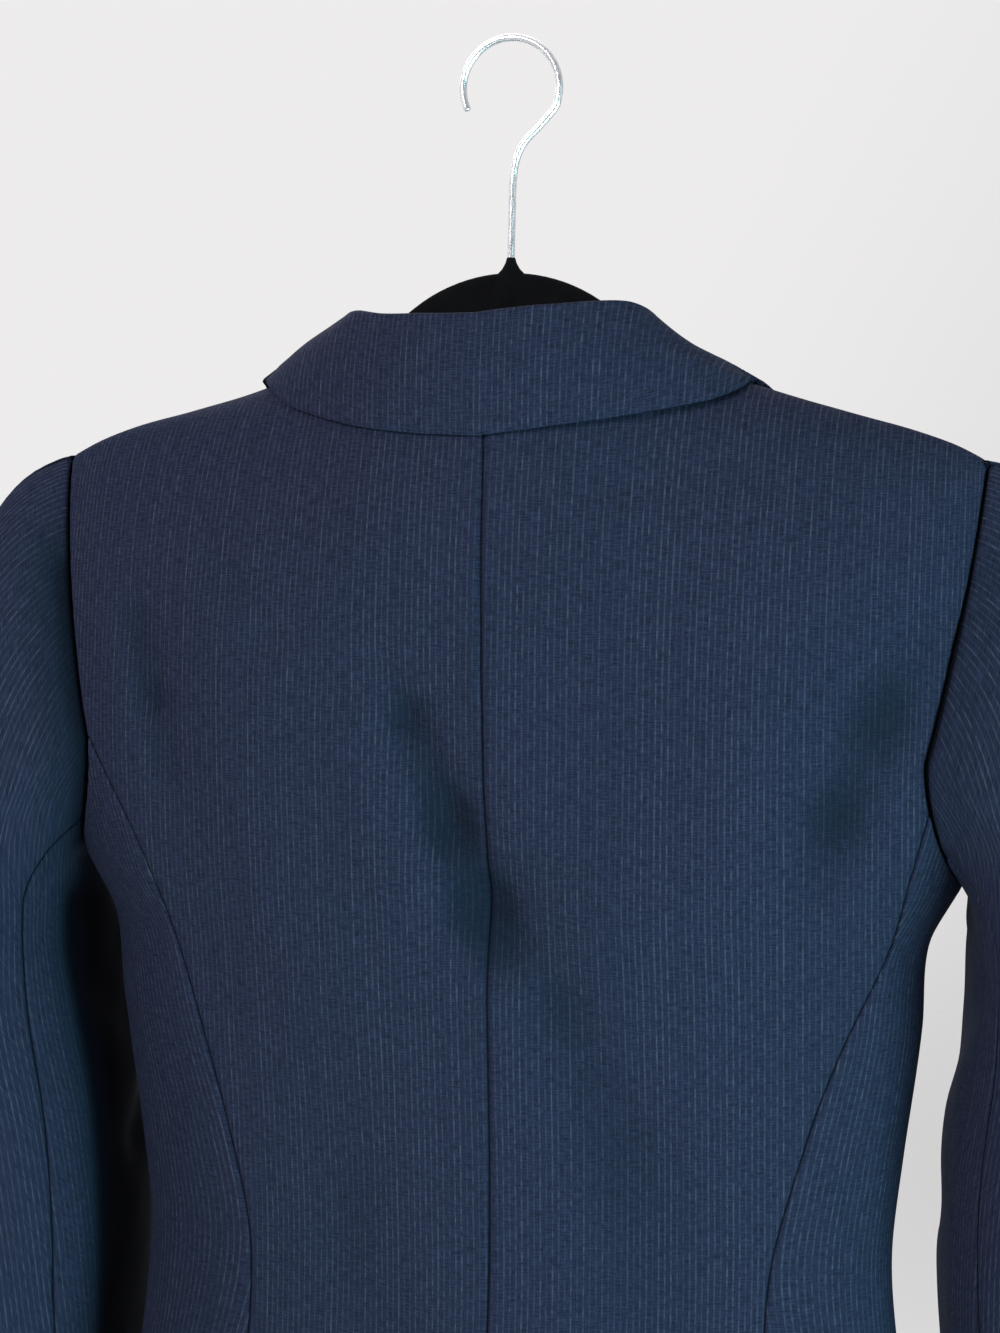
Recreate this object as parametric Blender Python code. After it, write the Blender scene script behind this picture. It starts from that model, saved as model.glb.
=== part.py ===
"""A single breasted blazer on a slim hanger: thin cloth walls round an empty hollow.

Metres, +Z up. The origin is the inner top of the hanger's hook, where a rail carries it.
The front faces -Y, the back +Y, and the wearer's left side is at +X.
"""
import math
from collections import namedtuple

import bmesh
import bpy
from mathutils import Vector

# Walls and gaps
CLOTH = 0.0016
COLLAR_WALL = 0.0020
SEAM_GAP = 0.0003
LAY_GAP = 0.0006
NUDGE = 0.0001
WELD = 0.00001

# Grid of the panels: rows down the body, columns across, steps round the armhole.
# The side seams leave the armhole this many steps from its top, lower on the right.
ARMHOLE_STEPS = 32
SEAM_STEP_LEFT = 8
SEAM_STEP_RIGHT = 10
UPPER_ROWS = 8
LOWER_ROWS = 13
NECK_COLUMNS = 8
SHOULDER_COLUMNS = 7
ROW_EASE = 1.5
CAP_ROWS = 7
ARM_ROWS = 11

# Body: level sections of the cloth, as it hangs
Section = namedtuple("Section", "z half_width back front squareness")
BODY_SECTIONS = (
    Section(-0.100, 0.2120, 0.0750, 0.0760, 2.2),
    Section(-0.180, 0.2130, 0.0760, 0.0790, 2.2),
    Section(-0.260, 0.2130, 0.0780, 0.0840, 2.2),
    Section(-0.320, 0.2110, 0.0785, 0.0880, 2.2),
    Section(-0.3615, 0.2010, 0.0775, 0.0890, 2.15),
    Section(-0.390, 0.1870, 0.0760, 0.0875, 2.1),
    Section(-0.430, 0.1845, 0.0725, 0.0830, 2.05),
    Section(-0.4855, 0.1780, 0.0680, 0.0760, 2.0),
    Section(-0.535, 0.1735, 0.0665, 0.0720, 2.0),
    Section(-0.600, 0.1800, 0.0720, 0.0730, 2.0),
    Section(-0.680, 0.1940, 0.0800, 0.0760, 2.0),
    Section(-0.766, 0.2070, 0.0860, 0.0780, 2.0),
)
HEM_Z = -0.766
HEM_DIP = 0.006
HEM_DIP_X = 0.200
BACK_SEAM_HEM_X = 0.130
FRONT_SEAM_HEM_X = 0.140
FRONT_HEM_X = 0.050
DOME_HEIGHT = 0.150
DOME_LEAST = 0.02
RIDGE_STEP = 0.001

# Shoulder line, seen from the back: height over distance from the centre
RidgePoint = namedtuple("RidgePoint", "x z")
SHOULDER_RIDGE = (
    RidgePoint(0.000, -0.1010),
    RidgePoint(0.040, -0.1120),
    RidgePoint(0.080, -0.1380),
    RidgePoint(0.115, -0.1506),
    RidgePoint(0.144, -0.1588),
    RidgePoint(0.171, -0.1660),
    RidgePoint(0.1915, -0.1730),
    RidgePoint(0.206, -0.1805),
    RidgePoint(0.220, -0.1920),
)
NECK_HALF_WIDTH = 0.080
NECK_BACK = 0.056

# Armhole: turns from the top (90 degrees) to the back (0), underarm (-90) and front (180)
ARMHOLE_X = 0.206
ARMHOLE_MIDDLE_Z = -0.305
ARMHOLE_BOTTOM_Z = -0.3615
ARMHOLE_BACK_TURN = math.radians(30.0)
ARMHOLE_FRONT_TURN = math.radians(33.0)
ARMHOLE_TOP_TURN = math.radians(13.5)

# Seams down the body, as the cloth hangs: distance from the centre on each side
SeamPoint = namedtuple("SeamPoint", "z left right")
BACK_PRINCESS = (
    SeamPoint(-0.330, 0.1690, 0.1866),
    SeamPoint(-0.3535, 0.1573, 0.1812),
    SeamPoint(-0.389, 0.1430, 0.1715),
    SeamPoint(-0.431, 0.1300, 0.1530),
    SeamPoint(-0.473, 0.1190, 0.1385),
    SeamPoint(-0.535, 0.1080, 0.1240),
    SeamPoint(-0.620, 0.1140, 0.1250),
    SeamPoint(-0.770, 0.1330, 0.1380),
)
FRONT_PRINCESS = (
    SeamPoint(-0.330, 0.1690, 0.1810),
    SeamPoint(-0.3535, 0.1560, 0.1680),
    SeamPoint(-0.389, 0.1440, 0.1510),
    SeamPoint(-0.473, 0.1250, 0.1270),
    SeamPoint(-0.535, 0.1200, 0.1200),
    SeamPoint(-0.620, 0.1270, 0.1270),
    SeamPoint(-0.770, 0.1440, 0.1440),
)
CentrePoint = namedtuple("CentrePoint", "z x")
CENTRE_BACK = (
    CentrePoint(-0.146, 0.0000),
    CentrePoint(-0.180, -0.0030),
    CentrePoint(-0.220, -0.0040),
    CentrePoint(-0.300, -0.0056),
    CentrePoint(-0.380, -0.0062),
    CentrePoint(-0.470, -0.0060),
    CentrePoint(-0.600, -0.0040),
    CentrePoint(-0.770, -0.0020),
)

# Soft troughs (positive) and swells (negative) of the hanging cloth, along straight runs
Fold = namedtuple("Fold", "face x0 z0 x1 z1 depth reach")
BODY_FOLDS = (
    Fold(1, 0.010, -0.265, 0.002, -0.370, 0.0042, 0.020),
    Fold(1, -0.010, -0.370, -0.066, -0.470, 0.0052, 0.026),
    Fold(1, -0.060, -0.470, -0.085, -0.600, 0.0030, 0.030),
    Fold(1, 0.105, -0.230, 0.070, -0.400, -0.0028, 0.034),
    Fold(1, -0.120, -0.240, -0.075, -0.360, -0.0030, 0.036),
    Fold(1, 0.150, -0.250, 0.135, -0.330, 0.0024, 0.016),
    Fold(1, 0.060, -0.500, 0.040, -0.600, 0.0026, 0.024),
    Fold(-1, 0.105, -0.290, 0.060, -0.440, 0.0034, 0.022),
    Fold(-1, -0.110, -0.300, -0.070, -0.460, 0.0030, 0.022),
    Fold(-1, 0.080, -0.520, 0.095, -0.660, 0.0026, 0.026),
    Fold(-1, -0.060, -0.540, -0.090, -0.680, 0.0030, 0.026),
)

# Fronts: the right one laps over the left by twice LAP, and its lapel rolls from LAPEL_TOP
LAP = 0.018
LAP_LIFT = 0.0013
LAP_FULL = 0.021
LAP_FADE = 0.060
LAPEL_TOP = (0.064, -0.165)
BREAK_Z = -0.420
FRONT_CURVE_TOP = -0.655
FRONT_CURVE_WIDTH = 0.062
FRONT_NECK_ROWS = 2
ROLL_ROWS = 9
FRONT_CURVE_ROWS = 4

# Lapel outline, seen from the front on its own side
GORGE_CORNER = (0.094, -0.1885)
LAPEL_TIP = (0.126, -0.2075)
LAPEL_BELLY = (0.082, -0.330)
LAPEL_WALL = 0.0018
LAPEL_ROLL = 0.0030
LAPEL_ROLL_PHASE = (0.15, 0.60)
LAPEL_GORGE_SHARE = 0.5
LAPEL_ROWS = 12
LAPEL_COLUMNS = 6
LEFT_LAPEL_END = ((0.0040, -0.3520), (0.0230, -0.4020))
RIGHT_LAPEL_END = ((-0.0165, -0.4160), (-0.0125, -0.4240))

# Collar, on its left half: turn is 0 at the centre back and 1 at the shoulder line
Station = namedtuple("Station", "turn fold_x fold_y fold_z edge_x edge_z")
COLLAR_STATIONS = (
    Station(0.000, 0.0000, 0.0575, -0.1214, 0.0000, -0.1705),
    Station(0.250, 0.0235, 0.0548, -0.1212, 0.0290, -0.1695),
    Station(0.500, 0.0445, 0.0440, -0.1206, 0.0610, -0.1660),
    Station(0.750, 0.0605, 0.0275, -0.1190, 0.0920, -0.1588),
    Station(1.000, 0.0690, 0.0040, -0.1222, 0.1130, -0.1497),
    Station(1.190, 0.0695, -0.0225, -0.1365, 0.1185, -0.1610),
    Station(1.375, 0.0650, -0.0535, -0.1600, 0.1170, -0.1785),
)
COLLAR_FRONT_COLUMNS = 3
COLLAR_LIE = 0.0024
COLLAR_LIE_TURNS = (0.90, 1.08)
STAND_ROWS = 3
FOLD_ROWS = 2
FALL_ROWS = 5
FOLD_RISE = 0.0026
FALL_SWELL = 0.0022
FALL_SWELL_UP = 0.4
RUN_STEP = 0.02
GORGE_SHARE = 0.6
GORGE_GAP = 0.0006
GORGE_TRIM = 4
COLLAR_END_SHARE = 0.85
STAND_GAP = 0.0006
OUTWARD_SIDE_SHARE = 0.55
COLLAR_RISE = 0.0040
COLLAR_LEAN = 0.0026

# Sleeves: level rings down the arm, centre and half sizes
Ring = namedtuple("Ring", "z x y half_side half_depth turned")
SLEEVE_RINGS = (
    Ring(-0.385, 0.2405, 0.0000, 0.0345, 0.0660, 0.00),
    Ring(-0.430, 0.2360, -0.0025, 0.0350, 0.0655, 0.12),
    Ring(-0.490, 0.2285, -0.0060, 0.0345, 0.0635, 0.16),
    Ring(-0.560, 0.2275, -0.0120, 0.0330, 0.0605, 0.18),
    Ring(-0.650, 0.2330, -0.0210, 0.0300, 0.0570, 0.15),
    Ring(-0.745, 0.2385, -0.0310, 0.0270, 0.0540, 0.12),
)
CUFF_Z = -0.745
SLEEVE_GAP = 0.0005
SLEEVE_PUSH = 0.972
CAP_OUT = (0.80, 0.0, -0.42)
CAP_NORMAL = 0.30
CAP_SPREAD = 0.15
UNDERARM_DROP = (-0.35, 0.0, -0.45)
ARM_HEART = (0.238, 0.0, -0.450)
ARM_FOLD_FADE_ROWS = 3
ARM_FOLD_RADIUS = 0.050
TOP_SLEEVE_STEPS = (-11, 12)
ArmFold = namedtuple("ArmFold", "clock0 z0 clock1 z1 depth reach")
ARM_FOLDS = (
    ArmFold(-60.0, -0.400, -110.0, -0.450, 0.0050, 0.012),
    ArmFold(-20.0, -0.330, 30.0, -0.400, 0.0030, 0.018),
    ArmFold(200.0, -0.470, 250.0, -0.510, 0.0045, 0.014),
    ArmFold(160.0, -0.520, 215.0, -0.560, 0.0030, 0.014),
    ArmFold(20.0, -0.500, -30.0, -0.570, 0.0030, 0.020),
    ArmFold(60.0, -0.420, 110.0, -0.480, 0.0024, 0.024),
)

# Buttons on the right front
BUTTON_RADIUS = 0.0100
BUTTON_HEIGHT = 0.0034
BUTTON_DISH = 0.0008
BUTTON_RIM_SHARES = (0.60, 0.72, 0.90)
BUTTON_SPIN_STEPS = 24
BUTTON_SEAT = 0.0009
BUTTON_HEIGHTS = (("button_upper", -0.430), ("button_lower", -0.532))

# Hanger: arch, arms under the shoulders, flared neck and wire hook
HANGER_THICKNESS = 0.0050
HANGER_ARCH_TOP = -0.0995
HANGER_ARCH_RADIUS = 0.0716
HANGER_ARCH_REACH = 0.0445
HANGER_BEND_X = 0.079
HANGER_TIP_X = 0.191
HANGER_DROP = CLOTH + 0.0024
HANGER_HEIGHTS = (0.022, 0.013)
HANGER_STATIONS = 13
HANGER_SIDES = 10
HANGER_FLATNESS = (0.5, 0.8)
SLOPE_STEP = 0.0015
NECK_SIDES = 16
NECK_PROFILE = ((-0.1065, 0.0092), (-0.1000, 0.0062), (-0.0978, 0.0038), (-0.0952, 0.0023), (-0.0931, 0.0018))
NECK_DEPTH = 0.0024
WIRE_RADIUS = 0.00165
HOOK_RADIUS = 0.0215
HOOK_END_ANGLE = -28.0
HOOK_START_ANGLE = 205.0
HOOK_STEP_ANGLE = 12.0
HOOK_STEM = ((-0.0004, -0.0740), (-0.0013, -0.0560), (-0.0048, -0.0450), (-0.0125, -0.0367))
HOOK_SPACING = 0.0045
WIRE_ROUNDNESS = 2


def between(table, key, value, column):
    """Smooth value of one column of a table whose key column runs one way."""
    rows = table if getattr(table[0], key) < getattr(table[-1], key) else table[::-1]
    keys = [getattr(row, key) for row in rows]
    values = [getattr(row, column) for row in rows]
    value = min(max(value, keys[0]), keys[-1])
    low = 0
    while low < len(keys) - 2 and keys[low + 1] < value:
        low += 1

    def slope(i):
        first = max(i - 1, 0)
        last = min(i + 1, len(keys) - 1)
        return (values[last] - values[first]) / (keys[last] - keys[first])

    width = keys[low + 1] - keys[low]
    f = (value - keys[low]) / width
    start = values[low] * (1 + 2 * f) * (1 - f) ** 2 + slope(low) * width * f * (1 - f) ** 2
    end = values[low + 1] * (3 - 2 * f) * f ** 2 + slope(low + 1) * width * (f - 1) * f ** 2
    return start + end


def mix(a, b, f):
    return a + (b - a) * f


def soft_step(f):
    f = min(max(f, 0.0), 1.0)
    return f * f * (3.0 - 2.0 * f)


def ridge(x):
    return between(SHOULDER_RIDGE, "x", abs(x), "z")


def dome(x, z):
    """How far the cloth has opened from the shoulder line: 0 on it, 1 below the dome."""
    drop = min(max((ridge(x) - z) / DOME_HEIGHT, 0.0), 1.0)
    return math.sqrt(max(1.0 - (1.0 - drop) ** 2, 0.0))


def curve_point(start, first, end, last, f):
    """Point on a smooth curve that leaves along first and arrives along last."""
    rise = f * f * (3 - 2 * f)
    return start * (1 - rise) + end * rise + first * f * (1 - f) ** 2 - last * f * f * (1 - f)


def body_depth(z, face):
    return between(BODY_SECTIONS, "z", z, "back" if face > 0 else "front")


def turn_at(x, z):
    """Turn round the level section, from the side (0) to the centre (90 degrees)."""
    power = between(BODY_SECTIONS, "z", z, "squareness")
    share = min(max(x / between(BODY_SECTIONS, "z", z, "half_width"), -1.0), 1.0)
    return math.acos(math.copysign(abs(share) ** (power / 2.0), share))


def along_fold(x, z, fold):
    """Depth of one soft trough at a place on the cloth."""
    run_x = fold.x1 - fold.x0
    run_z = fold.z1 - fold.z0
    length = math.hypot(run_x, run_z)
    along = ((x - fold.x0) * run_x + (z - fold.z0) * run_z) / length ** 2
    across = abs((x - fold.x0) * run_z - (z - fold.z0) * run_x) / length
    over = max(-along, along - 1.0, 0.0) * length
    return fold.depth * math.exp(-((across ** 2 + over ** 2) / fold.reach ** 2))


def bare_surface(side, turn, z, face):
    """Point of the plain body form; side is +1 for the wearer's left."""
    power = 2.0 / between(BODY_SECTIONS, "z", z, "squareness")
    out = math.copysign(abs(math.cos(turn)) ** power, math.cos(turn))
    x = side * between(BODY_SECTIONS, "z", z, "half_width") * out
    y = face * body_depth(z, face) * abs(math.sin(turn)) ** power * dome(x, z)
    return Vector((x, y, z))


def surface_normal(point):
    """Outward direction of the plain body form at a point on it."""
    if ridge(point.x) - point.z < 4 * NUDGE:
        tilt = (ridge(point.x + RIDGE_STEP) - ridge(point.x - RIDGE_STEP)) / (2 * RIDGE_STEP)
        return Vector((-tilt, 0.0, 1.0)).normalized()

    def level(x, y, z):
        power = between(BODY_SECTIONS, "z", z, "squareness")
        opened = body_depth(z, 1 if point.y >= 0 else -1) * max(dome(x, z), DOME_LEAST)
        width = between(BODY_SECTIONS, "z", z, "half_width")
        return abs(x / width) ** power + abs(y / opened) ** power

    x, y, z = point
    slopes = (
        level(x + NUDGE, y, z) - level(x - NUDGE, y, z),
        level(x, y + NUDGE, z) - level(x, y - NUDGE, z),
        level(x, y, z + NUDGE) - level(x, y, z - NUDGE),
    )
    return Vector(slopes).normalized()


def body_point(side, turn, z, face, lift=0.0, lap=0.0):
    """Point on the hanging cloth, lifted outwards, with its outward direction."""
    point = bare_surface(side, turn, z, face)
    normal = surface_normal(point)
    sunk = sum(along_fold(point.x, point.z, fold) for fold in BODY_FOLDS if fold.face == face)
    lapped = lap * soft_step((LAP_FADE - abs(point.x)) / (LAP_FADE - LAP_FULL))
    return point + normal * (lift + lapped - sunk * dome(point.x, z)), normal


def on_body(x, z, face, lift=0.0, lap=0.0):
    """Point of the cloth at a place seen from the front or back."""
    side = 1.0 if x >= 0 else -1.0
    return body_point(side, turn_at(abs(x), z), z, face, lift, lap)


def armhole_place(clock):
    """Turn and height of the armhole at a clock angle in radians, and its face."""
    back = math.cos(clock) >= 0
    middle_turn = ARMHOLE_BACK_TURN if back else ARMHOLE_FRONT_TURN
    rise = math.sin(clock)
    if rise >= 0:
        turn = mix(middle_turn, ARMHOLE_TOP_TURN, rise)
        z = mix(ARMHOLE_MIDDLE_Z, ridge(ARMHOLE_X), rise)
    else:
        turn = middle_turn * abs(math.cos(clock))
        z = mix(ARMHOLE_MIDDLE_Z, ARMHOLE_BOTTOM_Z, -rise)
    return turn, z, 1 if back else -1


def clock_at(step):
    return math.radians(90.0 - step * 360.0 / ARMHOLE_STEPS)


def neck_place(angle):
    """Turn and height of the neck seam at a plan angle from the centre back."""
    x = NECK_HALF_WIDTH * math.sin(angle)
    y = NECK_BACK * math.cos(angle)
    high = ridge(x)
    low = high - DOME_HEIGHT
    for _ in range(40):
        middle = 0.5 * (high + low)
        if bare_surface(1, turn_at(x, middle), middle, 1).y < y:
            high = middle
        else:
            low = middle
    return turn_at(x, high), high


def hem_z(x):
    return HEM_Z + HEM_DIP * (abs(x) / HEM_DIP_X) ** 2


def blend_patch(top, bottom, inner, outer):
    """Places inside four edges; each edge is a list of (turn, z) pairs."""
    rows = len(inner)
    columns = len(top)
    grid = []
    for r in range(rows):
        v = r / (rows - 1)
        line = []
        for c in range(columns):
            u = c / (columns - 1)
            place = []
            for k in (0, 1):
                across = mix(inner[r][k], outer[r][k], u)
                down = mix(top[c][k], bottom[c][k], v)
                corners = mix(mix(top[0][k], top[-1][k], u), mix(bottom[0][k], bottom[-1][k], u), v)
                place.append(across + down - corners)
            line.append(place)
        grid.append(line)
    return grid


def panel_from_places(name, places, side, face_of, material, lap=0.0):
    """Wall of one body panel; face_of tells back from front by the place's turn."""
    points = []
    normals = []
    for line in places:
        spots = [body_point(side, abs(turn), z, face_of(turn), 0.0, lap) for turn, z in line]
        points.append([spot[0] for spot in spots])
        normals.append([spot[1] for spot in spots])
    return cloth_wall(name, points, normals, CLOTH, material)


def cloth_wall(name, points, normals, thickness, material, trim=(1, 1, 1, 1)):
    """Closed thin wall under a grid of outer points; trimmed edges leave half a seam gap."""
    rows = len(points)
    columns = len(points[0])
    outer = [[Vector(p) for p in line] for line in points]
    trimmed = [[Vector(p) for p in line] for line in points]
    edges = (
        (trim[0], [((0, c), (1, c)) for c in range(columns)]),
        (trim[1], [((rows - 1, c), (rows - 2, c)) for c in range(columns)]),
        (trim[2], [((r, 0), (r, 1)) for r in range(rows)]),
        (trim[3], [((r, columns - 1), (r, columns - 2)) for r in range(rows)]),
    )
    for share, pairs in edges:
        for (r, c), (r_in, c_in) in pairs:
            inward = (outer[r_in][c_in] - outer[r][c]).normalized()
            trimmed[r][c] += inward * (share * SEAM_GAP / 2)

    bm = bmesh.new()
    bmesh.ops.create_grid(bm, x_segments=columns - 1, y_segments=rows - 1, size=0.5)
    bm.verts.ensure_lookup_table()
    place_of = {}
    for vert in bm.verts:
        c = round((vert.co.x + 0.5) * (columns - 1))
        r = round((vert.co.y + 0.5) * (rows - 1))
        place_of[vert] = (r, c)
    for vert, (r, c) in place_of.items():
        vert.co = trimmed[r][c]
    inner_of = {}
    for vert, (r, c) in place_of.items():
        inner_of[tuple(vert.co)] = trimmed[r][c] - normals[r][c] * thickness
    grown = bmesh.ops.extrude_face_region(bm, geom=bm.faces[:])
    for item in grown["geom"]:
        if isinstance(item, bmesh.types.BMVert):
            item.co = inner_of[tuple(item.co)]
    bmesh.ops.recalc_face_normals(bm, faces=bm.faces)
    return finish_mesh(name, bm, material)


def closed_tube(bm, rings):
    """Skin through rings of equal counts, with both ends filled."""
    sides = len(rings[0])
    made = bmesh.ops.create_grid(bm, x_segments=sides, y_segments=len(rings) - 1, size=0.5)["verts"]
    for vert in made:
        c = round((vert.co.x + 0.5) * sides) % sides
        r = round((vert.co.y + 0.5) * (len(rings) - 1))
        vert.co = rings[r][c]
    bmesh.ops.remove_doubles(bm, verts=made, dist=WELD)
    rim = [edge for edge in bm.edges if edge.is_boundary]
    bmesh.ops.holes_fill(bm, edges=rim, sides=sides)
    bmesh.ops.recalc_face_normals(bm, faces=bm.faces)


def finish_mesh(name, bm, material, angle=35.0):
    mesh = bpy.data.meshes.new(name)
    bm.to_mesh(mesh)
    bm.free()
    mesh.materials.append(material)
    mesh.shade_smooth()
    mesh.set_sharp_from_angle(angle=math.radians(angle))
    made = bpy.data.objects.new(name, mesh)
    bpy.context.scene.collection.objects.link(made)
    return made


def make_material(name, colour, roughness, metallic=0.0):
    material = bpy.data.materials.new(name)
    material.use_nodes = True
    shader = material.node_tree.nodes["Principled BSDF"]
    shader.inputs["Base Color"].default_value = (*colour, 1.0)
    shader.inputs["Roughness"].default_value = roughness
    shader.inputs["Metallic"].default_value = metallic
    return material


def seam_step(side):
    return SEAM_STEP_LEFT if side > 0 else SEAM_STEP_RIGHT


def seam_places(table, side, x_end):
    """Places down a seam from the armhole to the hem, evenly spaced in height."""
    column = "left" if side > 0 else "right"
    top_z = armhole_place(clock_at(seam_step(side)))[1]
    rows = UPPER_ROWS + LOWER_ROWS - seam_step(side)
    places = []
    for r in range(1, rows + 1):
        z = mix(top_z, hem_z(x_end), r / rows)
        places.append((turn_at(between(table, "z", z, column), z), z))
    return places


def make_back(side, material):
    """Back panel: centre back to princess seam, neck and shoulder to hem."""
    neck = [neck_place(math.pi / 2 * c / NECK_COLUMNS) for c in range(NECK_COLUMNS + 1)]
    shoulder = []
    for c in range(1, SHOULDER_COLUMNS + 1):
        x = mix(NECK_HALF_WIDTH, ARMHOLE_X, c / SHOULDER_COLUMNS)
        shoulder.append((turn_at(x, ridge(x)), ridge(x)))
    top = neck + shoulder
    armhole = [armhole_place(clock_at(step))[:2] for step in range(seam_step(side) + 1)]
    top[-1] = armhole[0]
    outer = armhole + seam_places(BACK_PRINCESS, side, BACK_SEAM_HEM_X)
    inner = []
    for r in range(UPPER_ROWS + LOWER_ROWS + 1):
        if r <= UPPER_ROWS:
            z = mix(neck[0][1], ARMHOLE_MIDDLE_Z, (r / UPPER_ROWS) ** ROW_EASE)
        else:
            z = mix(ARMHOLE_MIDDLE_Z, hem_z(0.0), (r - UPPER_ROWS) / LOWER_ROWS)
        inner.append((turn_at(side * between(CENTRE_BACK, "z", z, "x"), z), z))
    top[0] = inner[0]
    bottom = []
    for c in range(len(top)):
        f = c / (len(top) - 1)
        turn = mix(inner[-1][0], outer[-1][0], f)
        bottom.append((turn, mix(inner[-1][1], outer[-1][1], f * f)))
    places = blend_patch(top, bottom, inner, outer)
    name = "back_left" if side > 0 else "back_right"
    return panel_from_places(name, places, side, lambda turn: 1, material)


def make_side(side, material):
    """Side panel: under the armhole, from the back to the front princess seam."""
    top = []
    for step in range(seam_step(side), ARMHOLE_STEPS - seam_step(side) + 1):
        turn, z, face = armhole_place(clock_at(step))
        top.append((turn * face, z))
    back = [top[0]] + seam_places(BACK_PRINCESS, side, BACK_SEAM_HEM_X)
    front = [top[-1]]
    for turn, z in seam_places(FRONT_PRINCESS, side, FRONT_SEAM_HEM_X):
        front.append((-turn, z))
    rise = hem_z(HEM_DIP_X) - hem_z(BACK_SEAM_HEM_X)
    bottom = []
    for c in range(len(top)):
        f = c / (len(top) - 1)
        turn = mix(back[-1][0], front[-1][0], f)
        bottom.append((turn, mix(back[-1][1], front[-1][1], f) + rise * math.sin(math.pi * f)))
    places = blend_patch(top, bottom, back, front)
    name = "side_left" if side > 0 else "side_right"
    return panel_from_places(name, places, side, lambda turn: 1 if turn >= 0 else -1, material)


def front_edge():
    """Places down the front's inner edge: neck, roll line, straight edge, rounded corner."""
    rows = UPPER_ROWS + LOWER_ROWS
    break_row = FRONT_NECK_ROWS + ROLL_ROWS
    curve_row = rows - FRONT_CURVE_ROWS
    places = []
    for r in range(rows + 1):
        if r <= FRONT_NECK_ROWS:
            f = r / FRONT_NECK_ROWS
            x = mix(NECK_HALF_WIDTH, LAPEL_TOP[0], f)
            z = mix(ridge(NECK_HALF_WIDTH), LAPEL_TOP[1], f)
        elif r <= break_row:
            f = (r - FRONT_NECK_ROWS) / ROLL_ROWS
            x = mix(LAPEL_TOP[0], -LAP, f)
            z = mix(LAPEL_TOP[1], BREAK_Z, f)
        elif r <= curve_row:
            x = -LAP
            z = mix(BREAK_Z, FRONT_CURVE_TOP, (r - break_row) / (curve_row - break_row))
        else:
            bend = (r - curve_row) / FRONT_CURVE_ROWS * math.pi / 2
            x = -LAP + FRONT_CURVE_WIDTH * (1.0 - math.cos(bend))
            z = mix(FRONT_CURVE_TOP, hem_z(FRONT_HEM_X), math.sin(bend))
        places.append((turn_at(x, z), z))
    return places


def make_front(side, material):
    """Front panel: shoulder to hem, armhole and princess seam to the front edge."""
    inner = front_edge()
    armhole = [armhole_place(clock_at(-step))[:2] for step in range(seam_step(side) + 1)]
    outer = armhole + seam_places(FRONT_PRINCESS, side, FRONT_SEAM_HEM_X)
    top = [inner[0]]
    for c in range(1, SHOULDER_COLUMNS):
        x = mix(NECK_HALF_WIDTH, ARMHOLE_X, c / SHOULDER_COLUMNS)
        top.append((turn_at(x, ridge(x)), ridge(x)))
    top.append(armhole[0])
    bottom = []
    for c in range(SHOULDER_COLUMNS + 1):
        f = c / SHOULDER_COLUMNS
        bottom.append((mix(inner[-1][0], outer[-1][0], f), mix(inner[-1][1], outer[-1][1], f)))
    places = blend_patch(top, bottom, inner, outer)
    name = "front_left" if side > 0 else "front_right"
    return panel_from_places(name, places, side, lambda turn: -1, material, -side * LAP_LIFT)


def make_lapel(side, material):
    """Turned-back lapel lying on its front, from the gorge to the break."""
    end = LEFT_LAPEL_END if side > 0 else RIGHT_LAPEL_END
    points = []
    normals = []
    for r in range(LAPEL_ROWS + 1):
        v = r / LAPEL_ROWS
        roll_x = mix(LAPEL_TOP[0], end[0][0], v)
        roll_z = mix(LAPEL_TOP[1], end[0][1], v)
        edge_x = (1 - v) ** 2 * LAPEL_TIP[0] + 2 * v * (1 - v) * LAPEL_BELLY[0] + v * v * end[1][0]
        edge_z = (1 - v) ** 2 * LAPEL_TIP[1] + 2 * v * (1 - v) * LAPEL_BELLY[1] + v * v * end[1][1]
        line = []
        line_normals = []
        for c in range(LAPEL_COLUMNS + 1):
            u = c / LAPEL_COLUMNS
            x = mix(roll_x, edge_x, u)
            z = mix(roll_z, edge_z, u)
            if u < LAPEL_GORGE_SHARE:
                f = u / LAPEL_GORGE_SHARE
                top_x = mix(LAPEL_TOP[0], GORGE_CORNER[0], f)
                top_z = mix(LAPEL_TOP[1], GORGE_CORNER[1], f)
            else:
                f = (u - LAPEL_GORGE_SHARE) / (1 - LAPEL_GORGE_SHARE)
                top_x = mix(GORGE_CORNER[0], LAPEL_TIP[0], f)
                top_z = mix(GORGE_CORNER[1], LAPEL_TIP[1], f)
            x += (top_x - mix(LAPEL_TOP[0], LAPEL_TIP[0], u)) * (1 - v) ** 3
            z += (top_z - mix(LAPEL_TOP[1], LAPEL_TIP[1], u)) * (1 - v) ** 3
            phase = LAPEL_ROLL_PHASE[0] + LAPEL_ROLL_PHASE[1] * v
            roll = LAPEL_ROLL * (1 - u) ** 2 * math.sin(math.pi * phase)
            lift = LAY_GAP + LAPEL_WALL + roll
            point, normal = on_body(side * x, z, -1, lift, -side * LAP_LIFT)
            line.append(point)
            line_normals.append(normal)
        points.append(line)
        normals.append(line_normals)
    name = "lapel_left" if side > 0 else "lapel_right"
    return cloth_wall(name, points, normals, LAPEL_WALL, material, (GORGE_TRIM, 0, 0, 0))


def collar_fold(turn):
    return Vector([between(COLLAR_STATIONS, "turn", turn, c) for c in ("fold_x", "fold_y", "fold_z")])


def clear_of_body(point, lift):
    """The same point, moved out where the body's cloth would come through it."""
    if point.z > ridge(point.x) - lift:
        return point
    face = 1 if point.y >= 0 else -1
    cloth_y = on_body(point.x, point.z, face, lift)[0].y
    return Vector((point.x, face * max(face * point.y, face * cloth_y), point.z))


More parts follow.
